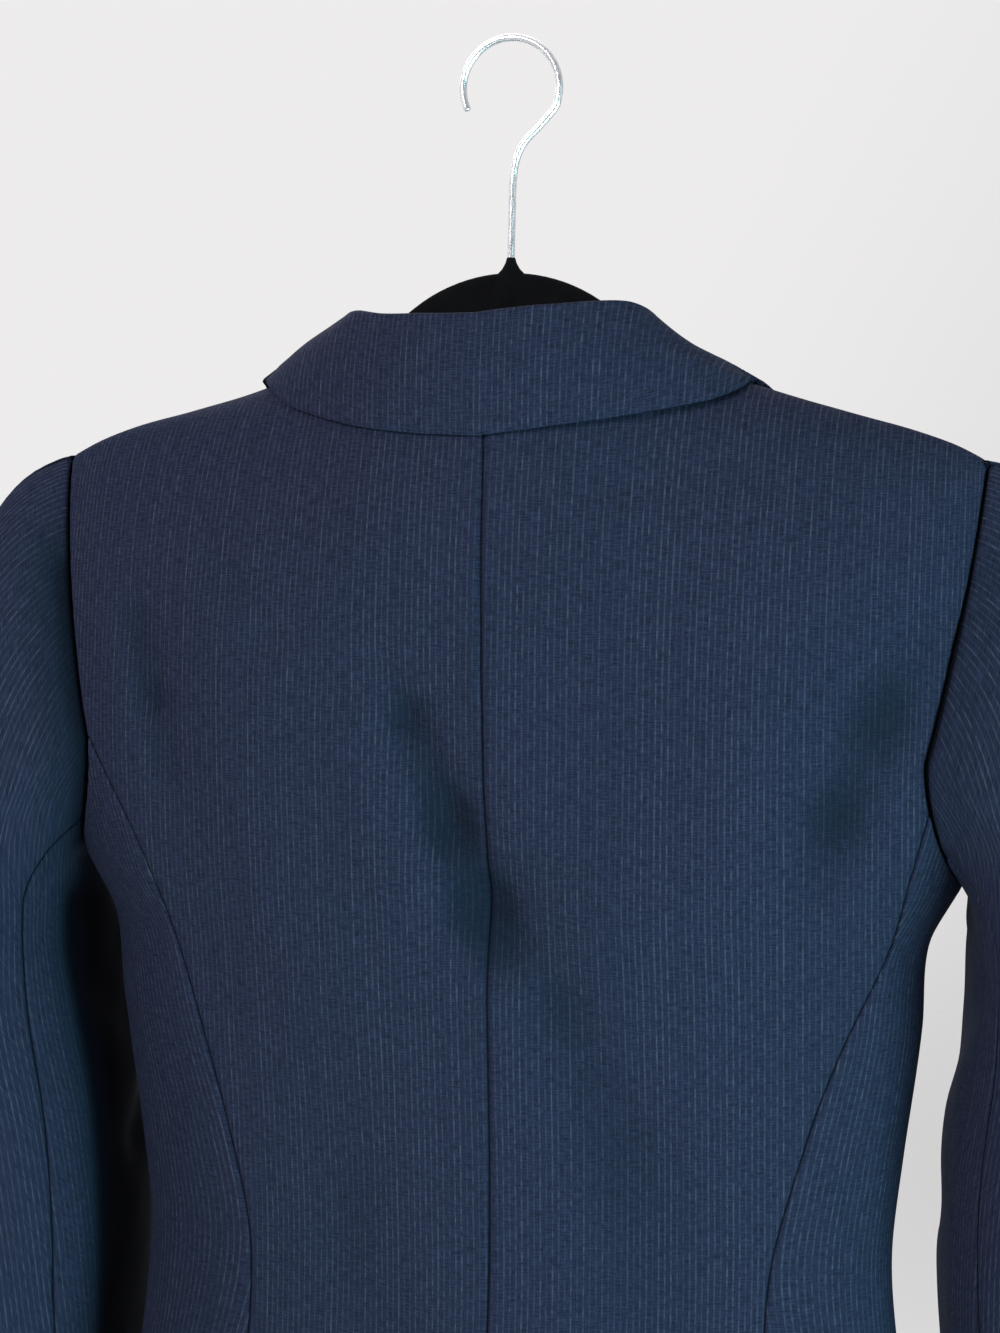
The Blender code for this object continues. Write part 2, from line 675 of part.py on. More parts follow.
def collar_line(turn):
    """Outer points of the collar across one station: up the stand, over, down the fall."""
    last_turn = COLLAR_STATIONS[-1].turn
    front_share = max(turn - 1.0, 0.0) / (last_turn - 1.0)
    fold = collar_fold(turn)
    ahead = collar_fold(min(turn + RUN_STEP, last_turn))
    run = (ahead - collar_fold(max(turn - RUN_STEP, 0.0))).normalized()
    level_out = Vector((fold.x * OUTWARD_SIDE_SHARE, fold.y, 0.0)).normalized()
    lie = soft_step((turn - COLLAR_LIE_TURNS[0]) / (COLLAR_LIE_TURNS[1] - COLLAR_LIE_TURNS[0]))
    lift = LAY_GAP + COLLAR_WALL + COLLAR_LIE * lie
    edge_x = between(COLLAR_STATIONS, "turn", turn, "edge_x")
    edge_z = min(between(COLLAR_STATIONS, "turn", turn, "edge_z"), ridge(edge_x) - NUDGE)
    edge = on_body(edge_x, edge_z, -1 if turn > 1.0 else 1, lift)[0]
    if turn <= 1.0:
        neck_turn, neck_z = neck_place(math.pi / 2 * turn)
        seam = bare_surface(1, neck_turn, neck_z, 1)
    else:
        f = COLLAR_END_SHARE * front_share
        x = mix(NECK_HALF_WIDTH, LAPEL_TOP[0], f)
        z = mix(ridge(NECK_HALF_WIDTH), LAPEL_TOP[1], f)
        seam = bare_surface(1, turn_at(x, z), z, -1)
    seam += Vector((0.0, 0.0, STAND_GAP)) - level_out * COLLAR_WALL
    up = (fold - seam).normalized() + (fold - edge).normalized()
    up = (up - run * up.dot(run)).normalized()
    out = up.cross(run)
    if out.dot(level_out) < 0:
        out = -out

    line = []
    for k in range(STAND_ROWS):
        line.append(seam.lerp(fold - out * FOLD_RISE, k / STAND_ROWS))
    for k in range(FOLD_ROWS + 1):
        arc = math.pi * k / FOLD_ROWS
        line.append(fold - out * FOLD_RISE * math.cos(arc) + up * FOLD_RISE * math.sin(arc))
    start = line[-1]
    corner = on_body(GORGE_CORNER[0], GORGE_CORNER[1] + GORGE_GAP, -1, lift)[0]
    for k in range(1, FALL_ROWS + 1):
        f = k / FALL_ROWS
        swell = FALL_SWELL * math.sin(math.pi * f)
        point = start.lerp(edge, f) + (out + up * FALL_SWELL_UP) * swell
        if f <= GORGE_SHARE:
            bent = start.lerp(corner, f / GORGE_SHARE)
        else:
            bent = corner.lerp(edge, (f - GORGE_SHARE) / (1 - GORGE_SHARE))
        point = point.lerp(bent, soft_step(front_share) ** 2)
        line.append(clear_of_body(point, lift))
    return line


def make_collar(material):
    """One folded piece round the neck, its stand inside and its fall outside."""
    half = NECK_COLUMNS + COLLAR_FRONT_COLUMNS
    lines = []
    for k in range(-half, half + 1):
        side = 1 if k >= 0 else -1
        line = collar_line(abs(k) / NECK_COLUMNS)
        rise = COLLAR_RISE * math.sin(math.pi * min(-k / NECK_COLUMNS, 1.0)) if k < 0 else 0.0
        lean = COLLAR_LEAN * min((half - abs(k)) / COLLAR_FRONT_COLUMNS, 1.0)
        for row, point in enumerate(line):
            point.x = side * point.x + lean * math.sin(math.pi * row / (len(line) - 1))
            point.z += rise * min(row / STAND_ROWS, 1.0)
        lines.append(line)
    points = [[line[r] for line in lines] for r in range(len(lines[0]))]
    normals = grid_normals(points, Vector((0.0, 0.0, ridge(NECK_HALF_WIDTH))))
    normals[0] = [Vector((n.x, n.y, 0.0)).normalized() for n in normals[0]]
    return cloth_wall("collar", points, normals, COLLAR_WALL, material, (0, 0, 0, 0))


def grid_normals(points, heart, ring=False):
    """Directions across a grid of points, by central differences."""
    rows = len(points)
    columns = len(points[0])
    normals = []
    for r in range(rows):
        line = []
        for c in range(columns):
            down = points[min(r + 1, rows - 1)][c] - points[max(r - 1, 0)][c]
            if ring:
                across = points[r][(c + 1) % columns] - points[r][c - 1]
            else:
                across = points[r][min(c + 1, columns - 1)] - points[r][max(c - 1, 0)]
            line.append(across.cross(down).normalized())
        normals.append(line)
    middle = normals[rows // 2][columns // 2]
    flip = -1.0 if middle.dot(points[rows // 2][columns // 2] - heart) < 0 else 1.0
    return [[normal * flip for normal in line] for line in normals]


def sleeve_ring(clock, z):
    """Point of the arm at a clock angle; the top of the armhole turns to the outside."""
    values = [between(SLEEVE_RINGS, "z", z, c) for c in ("x", "y", "half_side", "half_depth", "turned")]
    x = values[0] + values[2] * math.sin(clock) + values[4] * values[3] * math.cos(clock)
    y = values[1] + values[3] * math.cos(clock)
    return Vector((x, y, z))


def arm_sink(clock, z):
    """Depth of the arm's soft folds at a clock angle and a height."""
    sunk = 0.0
    for fold in ARM_FOLDS:
        degrees = math.degrees(clock)
        middle = 0.5 * (fold.clock0 + fold.clock1)
        while degrees - middle > 180.0:
            degrees -= 360.0
        while degrees - middle < -180.0:
            degrees += 360.0
        run = (ARM_FOLD_RADIUS * math.radians(fold.clock1 - fold.clock0), fold.z1 - fold.z0)
        off = (ARM_FOLD_RADIUS * math.radians(degrees - fold.clock0), z - fold.z0)
        length = math.hypot(*run)
        along = (off[0] * run[0] + off[1] * run[1]) / length ** 2
        across = abs(off[0] * run[1] - off[1] * run[0]) / length
        over = max(-along, along - 1.0, 0.0) * length
        sunk += fold.depth * math.exp(-((across ** 2 + over ** 2) / fold.reach ** 2))
    return sunk


def sleeve_grid():
    """Outer points of the left sleeve, ring by ring from the armhole to the cuff."""
    top_ring = SLEEVE_RINGS[0].z
    rows = []
    for r in range(CAP_ROWS + 1):
        f = r / CAP_ROWS
        line = []
        for step in range(ARMHOLE_STEPS):
            clock = clock_at(step)
            turn, z, face = armhole_place(clock)
            start, normal = body_point(1, turn, z, face)
            end = sleeve_ring(clock, top_ring)
            chord = (end - start).length
            push = Vector(CAP_OUT) + normal * CAP_NORMAL
            push.y += CAP_SPREAD * math.cos(clock)
            if math.sin(clock) < 0:
                push += Vector(UNDERARM_DROP) * math.sin(clock) ** 2
            push.normalize()
            first = push * chord * SLEEVE_PUSH
            last = Vector((0.0, 0.0, -chord * SLEEVE_PUSH))
            line.append(curve_point(start + push * SLEEVE_GAP, first, end, last, f))
        rows.append(line)
    for r in range(1, ARM_ROWS + 1):
        z = mix(top_ring, CUFF_Z, r / ARM_ROWS)
        rows.append([sleeve_ring(clock_at(step), z) for step in range(ARMHOLE_STEPS)])
    plain = grid_normals(rows, Vector(ARM_HEART), True)
    for r, line in enumerate(rows):
        fade = soft_step(r / ARM_FOLD_FADE_ROWS)
        for step in range(ARMHOLE_STEPS):
            line[step] = line[step] - plain[r][step] * arm_sink(clock_at(step), line[step].z) * fade
    return rows


def make_sleeves(side, grid, material):
    """Top sleeve over the outside of the arm and under sleeve towards the body."""
    rows = [[Vector((side * p.x, p.y, p.z)) for p in line] for line in grid]
    heart = Vector((side * ARM_HEART[0], ARM_HEART[1], ARM_HEART[2]))
    normals = grid_normals(rows, heart, True)
    word = "left" if side > 0 else "right"
    front_step, back_step = TOP_SLEEVE_STEPS
    spans = (
        ("top_sleeve_" + word, front_step, back_step),
        ("under_sleeve_" + word, back_step, front_step + ARMHOLE_STEPS),
    )
    for name, first, last in spans:
        steps = [s % ARMHOLE_STEPS for s in range(first, last + 1)]
        points = [[line[s] for s in steps] for line in rows]
        directions = [[line[s] for s in steps] for line in normals]
        cloth_wall(name, points, directions, CLOTH, material, (0, 0, 1, 1))


def make_button(name, z, material):
    """Round dished button standing on the right front, turned with the cloth."""
    seat, normal = on_body(0.0, z, -1, BUTTON_SEAT, LAP_LIFT)
    dish, rim, shoulder = [share * BUTTON_RADIUS for share in BUTTON_RIM_SHARES]
    profile = (
        (0.0, BUTTON_HEIGHT - 2 * BUTTON_DISH),
        (dish, BUTTON_HEIGHT - 2 * BUTTON_DISH),
        (rim, BUTTON_HEIGHT),
        (shoulder, BUTTON_HEIGHT),
        (BUTTON_RADIUS, BUTTON_HEIGHT - BUTTON_DISH),
        (BUTTON_RADIUS, BUTTON_DISH),
        (shoulder, 0.0),
        (0.0, 0.0),
    )
    bm = bmesh.new()
    verts = [bm.verts.new((radius, 0.0, height)) for radius, height in profile]
    edges = [bm.edges.new(pair) for pair in zip(verts, verts[1:])]
    bmesh.ops.spin(
        bm, geom=verts + edges, cent=(0, 0, 0), axis=(0, 0, 1), dvec=(0, 0, 0),
        angle=math.tau, steps=BUTTON_SPIN_STEPS, use_merge=True, use_duplicate=False,
    )
    bmesh.ops.remove_doubles(bm, verts=bm.verts, dist=WELD)
    bmesh.ops.recalc_face_normals(bm, faces=bm.faces)
    made = finish_mesh(name, bm, material)
    made.rotation_mode = "QUATERNION"
    made.rotation_quaternion = normal.to_track_quat("Z", "Y")
    made.location = seat


def hanger_top(x):
    """Height of the hanger's upper edge over distance from its middle."""
    centre_z = HANGER_ARCH_TOP - HANGER_ARCH_RADIUS
    arch_end = centre_z + math.sqrt(HANGER_ARCH_RADIUS ** 2 - HANGER_ARCH_REACH ** 2)
    if x <= HANGER_ARCH_REACH:
        return centre_z + math.sqrt(HANGER_ARCH_RADIUS ** 2 - x ** 2)
    bend_z = ridge(HANGER_BEND_X) - HANGER_DROP
    if x <= HANGER_BEND_X:
        return mix(arch_end, bend_z, (x - HANGER_ARCH_REACH) / (HANGER_BEND_X - HANGER_ARCH_REACH))
    return ridge(x) - HANGER_DROP


def make_hanger(material):
    """Slim hanger body: arch and two arms, with the flared neck joined on."""
    rings = []
    top_angle = math.tau * (HANGER_SIDES // 4 + 0.5) / HANGER_SIDES
    reach = math.sin(top_angle) ** HANGER_FLATNESS[1]
    for k in range(-HANGER_STATIONS, HANGER_STATIONS + 1):
        share = k / HANGER_STATIONS
        x = HANGER_TIP_X * share
        ahead = hanger_top(abs(x) + SLOPE_STEP)
        rise = (ahead - hanger_top(max(abs(x) - SLOPE_STEP, 0.0))) / (2 * SLOPE_STEP)
        up = Vector((-math.copysign(rise, x) if k else 0.0, 0.0, 1.0)).normalized()
        half = 0.5 * mix(HANGER_HEIGHTS[0], HANGER_HEIGHTS[1], abs(share))
        top = Vector((x, 0.0, hanger_top(abs(x))))
        ring = []
        for j in range(HANGER_SIDES):
            angle = math.tau * (j + 0.5) / HANGER_SIDES
            across = math.copysign(abs(math.cos(angle)) ** HANGER_FLATNESS[0], math.cos(angle))
            along = math.copysign(abs(math.sin(angle)) ** HANGER_FLATNESS[1], math.sin(angle))
            level = Vector((0.0, across * HANGER_THICKNESS / 2, 0.0))
            ring.append(top + up * half * (along / reach - 1.0) + level)
        rings.append(ring)
    bm = bmesh.new()
    closed_tube(bm, rings)
    body = finish_mesh("hanger_body", bm, material)

    neck_rings = []
    for z, radius in NECK_PROFILE:
        depth = min(radius, NECK_DEPTH)
        ring = []
        for j in range(NECK_SIDES):
            angle = math.tau * j / NECK_SIDES
            ring.append(Vector((radius * math.cos(angle), depth * math.sin(angle), z)))
        neck_rings.append(ring)
    bm = bmesh.new()
    closed_tube(bm, neck_rings)
    neck = finish_mesh("hanger_neck_tool", bm, material)
    neck.hide_render = True
    neck.display_type = "WIRE"
    join = body.modifiers.new("neck", "BOOLEAN")
    join.operation = "UNION"
    join.solver = "EXACT"
    join.object = neck


def make_hook(material):
    """Bright wire: a straight stem that swings into an open round hook."""
    centre_z = WIRE_RADIUS - HOOK_RADIUS
    low_end = NECK_PROFILE[-1][0] + SEAM_GAP
    guide = [Vector((0.0, 0.0, low_end))]
    for x, z in HOOK_STEM:
        guide.append(Vector((x, 0.0, z)))
    angle = HOOK_START_ANGLE
    while angle >= HOOK_END_ANGLE:
        a = math.radians(angle)
        guide.append(Vector((HOOK_RADIUS * math.cos(a), 0.0, centre_z + HOOK_RADIUS * math.sin(a))))
        angle -= HOOK_STEP_ANGLE
    path = []
    for i in range(len(guide) - 1):
        before = guide[max(i - 1, 0)]
        after = guide[min(i + 2, len(guide) - 1)]
        pieces = max(1, round((guide[i + 1] - guide[i]).length / HOOK_SPACING))
        first = (guide[i + 1] - before) * 0.5
        last = (after - guide[i]) * 0.5
        for k in range(pieces):
            path.append(curve_point(guide[i], first, guide[i + 1], last, k / pieces))
    path.append(guide[-1])
    curve = bpy.data.curves.new("hanger_hook", "CURVE")
    curve.dimensions = "3D"
    spline = curve.splines.new("POLY")
    spline.points.add(len(path) - 1)
    for point, place in zip(spline.points, path):
        point.co = (*place, 1.0)
    curve.bevel_depth = WIRE_RADIUS
    curve.bevel_resolution = WIRE_ROUNDNESS
    curve.use_fill_caps = True
    curve.materials.append(material)
    hook = bpy.data.objects.new("hanger_hook", curve)
    bpy.context.scene.collection.objects.link(hook)


for old in list(bpy.data.objects):
    bpy.data.objects.remove(old, do_unlink=True)

cloth = make_material("navy_pinstripe_cloth", (0.022, 0.032, 0.066), 0.82)
velvet = make_material("black_velvet", (0.006, 0.007, 0.009), 0.95)
wire = make_material("bright_wire", (0.72, 0.73, 0.75), 0.18, 1.0)
horn = make_material("dark_button", (0.010, 0.013, 0.022), 0.35)

left_arm = sleeve_grid()
for side in (1, -1):
    make_back(side, cloth)
    make_side(side, cloth)
    make_front(side, cloth)
    make_lapel(side, cloth)
    make_sleeves(side, left_arm, cloth)
make_collar(cloth)
for button_name, button_z in BUTTON_HEIGHTS:
    make_button(button_name, button_z, horn)
make_hanger(velvet)
make_hook(wire)
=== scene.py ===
import math

import bmesh
import bpy
import numpy as np
from mathutils import Matrix, Vector


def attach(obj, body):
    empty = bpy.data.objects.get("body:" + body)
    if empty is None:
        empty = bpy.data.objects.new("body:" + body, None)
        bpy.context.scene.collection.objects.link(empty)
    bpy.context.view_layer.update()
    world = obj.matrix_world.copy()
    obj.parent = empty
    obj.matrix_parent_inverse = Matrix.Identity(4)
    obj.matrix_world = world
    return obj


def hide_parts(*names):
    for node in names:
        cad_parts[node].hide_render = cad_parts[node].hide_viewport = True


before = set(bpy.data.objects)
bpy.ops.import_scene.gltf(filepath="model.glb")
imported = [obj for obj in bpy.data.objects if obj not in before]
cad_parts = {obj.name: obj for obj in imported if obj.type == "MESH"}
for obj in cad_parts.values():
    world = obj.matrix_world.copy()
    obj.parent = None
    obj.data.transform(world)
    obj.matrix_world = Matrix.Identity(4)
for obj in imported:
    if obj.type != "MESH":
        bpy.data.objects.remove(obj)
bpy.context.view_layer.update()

# ---------------------------------------------------------------------------
# Camera: stands behind the garment, a little to its right, and looks slightly
# down on the shoulders from about a metre away.
CAMERA_PLACE = (-0.2337, 1.0339, -0.155)
CAMERA_TURN = math.radians(13.0)
CAMERA_TILT = math.radians(6.384)
CAMERA_LENS = 64.33
CAMERA_SENSOR = 36.0

camera_data = bpy.data.cameras.new("camera")
camera_data.sensor_fit = "VERTICAL"
camera_data.sensor_height = CAMERA_SENSOR
camera_data.lens = CAMERA_LENS
camera = bpy.data.objects.new("camera", camera_data)
ahead = Vector((math.sin(CAMERA_TURN), -math.cos(CAMERA_TURN), 0.0))
look = ahead * math.cos(CAMERA_TILT) - Vector((0.0, 0.0, math.sin(CAMERA_TILT)))
aside = ahead.cross(Vector((0.0, 0.0, 1.0)))
turned = Matrix((aside, aside.cross(look), -look)).transposed().to_4x4()
camera.matrix_world = Matrix.Translation(CAMERA_PLACE) @ turned
bpy.context.scene.collection.objects.link(camera)
bpy.context.scene.camera = camera

# ---------------------------------------------------------------------------
# Light: a pale room, a touch darker on the garment's right, with a soft box behind
# its left shoulder, a cooler one low behind its right side and one in front.
SOFT_BOXES = (
    ("key", (0.75, 1.60, 0.75), 0.8, 23.0, (1.0, 0.96, 0.96)),
    ("fill", (-1.35, 0.95, -0.85), 0.7, 30.0, (0.50, 1.0, 1.0)),
    ("front", (0.60, -1.60, 0.80), 1.2, 20.0, (1.0, 1.0, 1.0)),
)
LIGHT_AIM = Vector((0.0, 0.0, -0.35))
WHITE = (1.0, 1.0, 1.0)
ROOM_LIGHT = (0.850, 0.838, 0.838)
ROOM_SHADE = (0.560, 0.552, 0.560)
ROOM_BEHIND = (0.50, 0.50, 0.51)
SHADE_WAY = (-1.0, -0.55)
SHADE_FADE = (-0.22, 0.42)
BEHIND_FADE = (-0.10, 0.75)


def new_node(tree, kind, values=None, **settings):
    """One shader node; values maps an input's place or name to a number or an output."""
    made = tree.nodes.new("ShaderNode" + kind)
    for key, value in settings.items():
        setattr(made, key, value)
    for key, value in (values or {}).items():
        if isinstance(value, bpy.types.NodeSocket):
            tree.links.new(value, made.inputs[key])
        else:
            made.inputs[key].default_value = value
    return made


def calc(tree, operation, value, *others):
    """Result of one math step on numbers or outputs, or of a chain of the same step."""
    if not others:
        return new_node(tree, "Math", {0: value}, operation=operation).outputs[0]
    for other in others:
        value = new_node(tree, "Math", {0: value, 1: other}, operation=operation).outputs[0]
    return value


def spread(tree, value, low, high, to_low=0.0, to_high=1.0):
    """Value moved from one range to another, softly, and held inside it."""
    values = {0: value, 1: low, 2: high, 3: to_low, 4: to_high}
    return new_node(tree, "MapRange", values, interpolation_type="SMOOTHSTEP").outputs[0]


def blend(tree, share, first, second, how="MIX"):
    """Two colours mixed by a share."""
    first, second = [(*colour, 1.0) if isinstance(colour, tuple) else colour for colour in (first, second)]
    return new_node(tree, "Mix", {0: share, 6: first, 7: second}, data_type="RGBA", blend_type=how).outputs[2]


bpy.context.scene.view_settings.view_transform = "Standard"
for name, place, size, power, colour in SOFT_BOXES:
    light_data = bpy.data.lights.new(name, "AREA")
    light_data.size = size
    light_data.energy = power
    light_data.color = colour
    light = bpy.data.objects.new(name, light_data)
    light.location = place
    light.rotation_euler = (LIGHT_AIM - Vector(place)).to_track_quat("-Z", "Y").to_euler()
    bpy.context.scene.collection.objects.link(light)

room = bpy.data.worlds.new("room")
room.use_nodes = True
tree = room.node_tree
way = new_node(tree, "SeparateXYZ", {0: new_node(tree, "TexCoord").outputs["Generated"]}).outputs
across = calc(tree, "ADD", calc(tree, "MULTIPLY", way[0], SHADE_WAY[0]), calc(tree, "MULTIPLY", way[2], SHADE_WAY[1]))
wall = blend(tree, spread(tree, across, *SHADE_FADE), ROOM_LIGHT, ROOM_SHADE)
behind = blend(tree, spread(tree, way[1], *BEHIND_FADE), WHITE, ROOM_BEHIND)
tree.links.new(blend(tree, 1.0, wall, behind, "MULTIPLY"), tree.nodes["Background"].inputs["Color"])
bpy.context.scene.world = room

# ---------------------------------------------------------------------------
# Floor: a wide pale sheet well below the hem that fades into the room.
FLOOR_Z = -1.55
FLOOR_RADIUS = 7.0
FLOOR_FADE = (1.2, 6.5)
SHARP_EDGE = math.radians(50.0)


def new_material(name, colour, roughness, finish=()):
    """A Principled material, with its tree and shader; finish sets more of the shader's sockets."""
    material = bpy.data.materials.new(name)
    material.use_nodes = True
    shader = material.node_tree.nodes["Principled BSDF"]
    for socket, value in {"Base Color": (*colour, 1.0), "Roughness": roughness, **dict(finish)}.items():
        shader.inputs[socket].default_value = value
    return material, material.node_tree, shader


def noise(tree, place, scale, detail=2.0, **more):
    """Soft noise over a place; a scale of three numbers stretches it."""
    if isinstance(scale, tuple):
        place = new_node(tree, "Mapping", {"Vector": place, "Scale": scale}).outputs[0]
        scale = 1.0
    return new_node(tree, "TexNoise", {"Vector": place, "Scale": scale, "Detail": detail, **more}).outputs[0]


def link_mesh(name, bm, *materials):
    """Object of a finished bmesh, smooth apart from its sharp edges."""
    mesh = bpy.data.meshes.new(name)
    bm.to_mesh(mesh)
    bm.free()
    for material in materials:
        mesh.materials.append(material)
    mesh.shade_smooth()
    mesh.set_sharp_from_angle(angle=SHARP_EDGE)
    made = bpy.data.objects.new(name, mesh)
    bpy.context.scene.collection.objects.link(made)
    return made


paper, tree, shader = new_material("pale_floor", (0.84, 0.83, 0.83), 0.9)
where = new_node(tree, "TexCoord").outputs["Object"]
tree.links.new(blend(tree, noise(tree, where, 3.0), (0.83, 0.82, 0.82), (0.86, 0.85, 0.85)),
               shader.inputs["Base Color"])
away = new_node(tree, "VectorMath", {0: where}, operation="LENGTH").outputs["Value"]
tree.links.new(spread(tree, away, *FLOOR_FADE, 1.0, 0.0), shader.inputs["Alpha"])
bm = bmesh.new()
bmesh.ops.create_circle(bm, cap_ends=True, segments=96, radius=FLOOR_RADIUS,
                        matrix=Matrix.Translation((0.0, 0.0, FLOOR_Z)))
floor = link_mesh("floor", bm, paper)

# ---------------------------------------------------------------------------
# Hook: bright drawn steel wire, bent cold into an open round hook on a straight
# stem, and pushed into the hanger's neck.


def mm(*measures):
    """Metres of a list or table given in millimetres."""
    return tuple(mm(*row) if isinstance(row, tuple) else round(row / 1000, 7) for row in measures)


WIRE_RADIUS = 0.00165
WIRE_SIDES = 20
HOOK_RADIUS = 0.0215
HOOK_ARC = (205.0, -28.0, -12.0)
HOOK_STEM = mm((0, -92.8), (-0.4, -74), (-1.3, -56), (-4.8, -45), (-12.5, -36.7))
STEM_PIECES, ARC_PIECES = 10, 4
FILED_END = ((0.86, 0.0006), (0.55, 0.0011))


def unit(vectors):
    return vectors / (np.linalg.norm(vectors, axis=-1, keepdims=True) + 1e-12)


def curve_point(start, first, end, last, f):
    """Point on a smooth curve that leaves along first and arrives along last."""
    rise = f * f * (3 - 2 * f)
    return start * (1 - rise) + end * rise + first * f * (1 - f) ** 2 - last * f * f * (1 - f)


def bend_grid(bm, points):
    """Square grid whose corners are moved to a table of points; gives the grid's corners by row."""
    rows, columns = points.shape[:2]
    made = bmesh.ops.create_grid(bm, x_segments=columns - 1, y_segments=rows - 1, size=0.5)["verts"]
    table = [[None] * columns for _ in range(rows)]
    for vert in made:
        r, c = round((vert.co.y + 0.5) * (rows - 1)), round((vert.co.x + 0.5) * (columns - 1))
        table[r][c] = vert
        vert.co = points[r, c]
    return table


def ring(middle, along, across, sides):
    """Points round a middle, set out along two directions that have their own lengths."""
    angles = np.linspace(0.0, math.tau, sides, endpoint=False)[:, None]
    return np.array(middle) + np.cos(angles) * along + np.sin(angles) * across


def tube(bm, rings):
    """Skin through closed rings of points, with both ends filled."""
    rings = np.array(rings)
    bend_grid(bm, np.concatenate((rings, rings[:, :1]), axis=1))
    bmesh.ops.remove_doubles(bm, verts=bm.verts, dist=0.000001)
    bmesh.ops.holes_fill(bm, edges=[edge for edge in bm.edges if edge.is_boundary], sides=0)
    bmesh.ops.recalc_face_normals(bm, faces=bm.faces)


def rough_up(tree, shader, height, strength, distance):
    """Fine relief on a finish."""
    bump = new_node(tree, "Bump", {"Height": height, "Strength": strength, "Distance": distance})
    tree.links.new(bump.outputs[0], shader.inputs["Normal"])


wire, tree, shader = new_material("bright_wire", (0.78, 0.79, 0.81), 0.16, {"Metallic": 1.0})
where = new_node(tree, "TexCoord").outputs["Object"]
drawn = noise(tree, where, (2600.0, 2600.0, 160.0), 4.0)
patches = spread(tree, noise(tree, where, 420.0, 3.0), 0.40, 0.62)
tree.links.new(spread(tree, drawn, 0.3, 0.7, 0.16, 0.38), shader.inputs["Roughness"])
tree.links.new(blend(tree, patches, (0.80, 0.82, 0.86), (0.96, 0.97, 0.99)), shader.inputs["Base Color"])
rough_up(tree, shader, drawn, 0.35, 0.0004)

guide = [np.array((x, 0.0, z)) for x, z in HOOK_STEM]
for a in np.radians(np.arange(*HOOK_ARC)):
    guide.append(np.array((HOOK_RADIUS * math.cos(a), 0.0, WIRE_RADIUS + HOOK_RADIUS * (math.sin(a) - 1.0))))
path = []
for i in range(len(guide) - 1):
    first = (guide[i + 1] - guide[max(i - 1, 0)]) * 0.5
    last = (guide[min(i + 2, len(guide) - 1)] - guide[i]) * 0.5
    pieces = STEM_PIECES if i < len(HOOK_STEM) else ARC_PIECES
    path += [curve_point(guide[i], first, guide[i + 1], last, k / pieces) for k in range(pieces)]
path = np.array(path + [guide[-1]])
runs = unit(np.gradient(path, axis=0))
sideways = np.array((0.0, 1.0, 0.0))
rings = [ring(place, WIRE_RADIUS * np.cross(run, sideways), WIRE_RADIUS * sideways, WIRE_SIDES)
         for place, run in zip(path, runs)]
rings += [path[-1] + runs[-1] * step + (rings[len(path) - 1] - path[-1]) * shrink for shrink, step in FILED_END]
bm = bmesh.new()
tube(bm, rings)
hook = link_mesh("wire_hook", bm, wire)
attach(hook, "root")
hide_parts("hanger_hook")

# ---------------------------------------------------------------------------
# Hanger: thin moulded core covered with short black velvet flock, arched in the
# middle, with two arms under the shoulders and a flared neck for the wire.
RIDGE_X = mm(0, 40, 80, 115, 144, 171, 191.5, 206, 220)
RIDGE_Z = mm(-101, -112, -138, -150.6, -158.8, -166, -173, -180.5, -192)
HANGER_THICKNESS = 0.0050
ARCH_TOP = -0.0995
ARCH_RADIUS = 0.0716
ARCH_REACH = 0.0445
ARM_BEND_X = 0.079
ARM_TIP_X = 0.191
ARM_DROP = 0.0040
ARM_HEIGHTS = (0.022, 0.013)
ARM_TIP_SHARE = 0.975
ARM_STATIONS, ARM_SIDES, NECK_SIDES = 97, 28, 28
NECK_CONE = mm((-106.5, 9.2), (-103, 7.6), (-100, 6.2), (-97.8, 4), (-95.2, 2.5), (-93.1, 1.9), (-92.7, 1.4))
NECK_DEPTH = 0.0025


def mix(a, b, f):
    return a + (b - a) * f


def signed_power(value, power):
    return np.sign(value) * np.abs(value) ** power


def through(keys, values):
    """Smooth line through a short table of measures."""
    order = np.argsort(keys)
    keys, values = np.array(keys)[order], np.array(values)[order]
    count = np.arange(len(keys))
    before, after = np.maximum(count - 1, 0), np.minimum(count + 1, len(keys) - 1)
    slopes = (values[after] - values[before]) / (keys[after] - keys[before])

    def at(x):
        x = np.clip(x, keys[0], keys[-1])
        i = np.clip(np.searchsorted(keys, x) - 1, 0, len(keys) - 2)
        width = keys[i + 1] - keys[i]
        f = (x - keys[i]) / width
        start = values[i] * (1 + 2 * f) * (1 - f) ** 2 + slopes[i] * width * f * (1 - f) ** 2
        end = values[i + 1] * (3 - 2 * f) * f ** 2 + slopes[i + 1] * width * (f - 1) * f ** 2
        return start + end

    return at


ridge_line = through(RIDGE_X, RIDGE_Z)


def ridge(x):
    """Height of the shoulder line over distance from the centre."""
    return ridge_line(np.abs(x))


def arm_top(x):
    """Height of the hanger's upper edge."""
    if x > ARM_BEND_X:
        return ridge(x) - ARM_DROP
    arch = ARCH_TOP - ARCH_RADIUS + math.sqrt(ARCH_RADIUS ** 2 - min(x, ARCH_REACH) ** 2)
    bend_z = ridge(ARM_BEND_X) - ARM_DROP
    return mix(arch, bend_z, max(x - ARCH_REACH, 0.0) / (ARM_BEND_X - ARCH_REACH))


velvet, tree, shader = new_material("black_velvet", (0.004, 0.0045, 0.006), 1.0, {
    "Specular IOR Level": 0.12, "Sheen Weight": 0.35, "Sheen Roughness": 0.35, "Sheen Tint": (0.30, 0.34, 0.40, 1.0)})
where = new_node(tree, "TexCoord").outputs["Object"]
brushed = noise(tree, where, 120.0)
tree.links.new(blend(tree, brushed, (0.0022, 0.0026, 0.0035), (0.0065, 0.0072, 0.0090)), shader.inputs["Base Color"])
rough_up(tree, shader, calc(tree, "ADD", noise(tree, where, 2600.0, 3.0), brushed), 0.6, 0.0003)

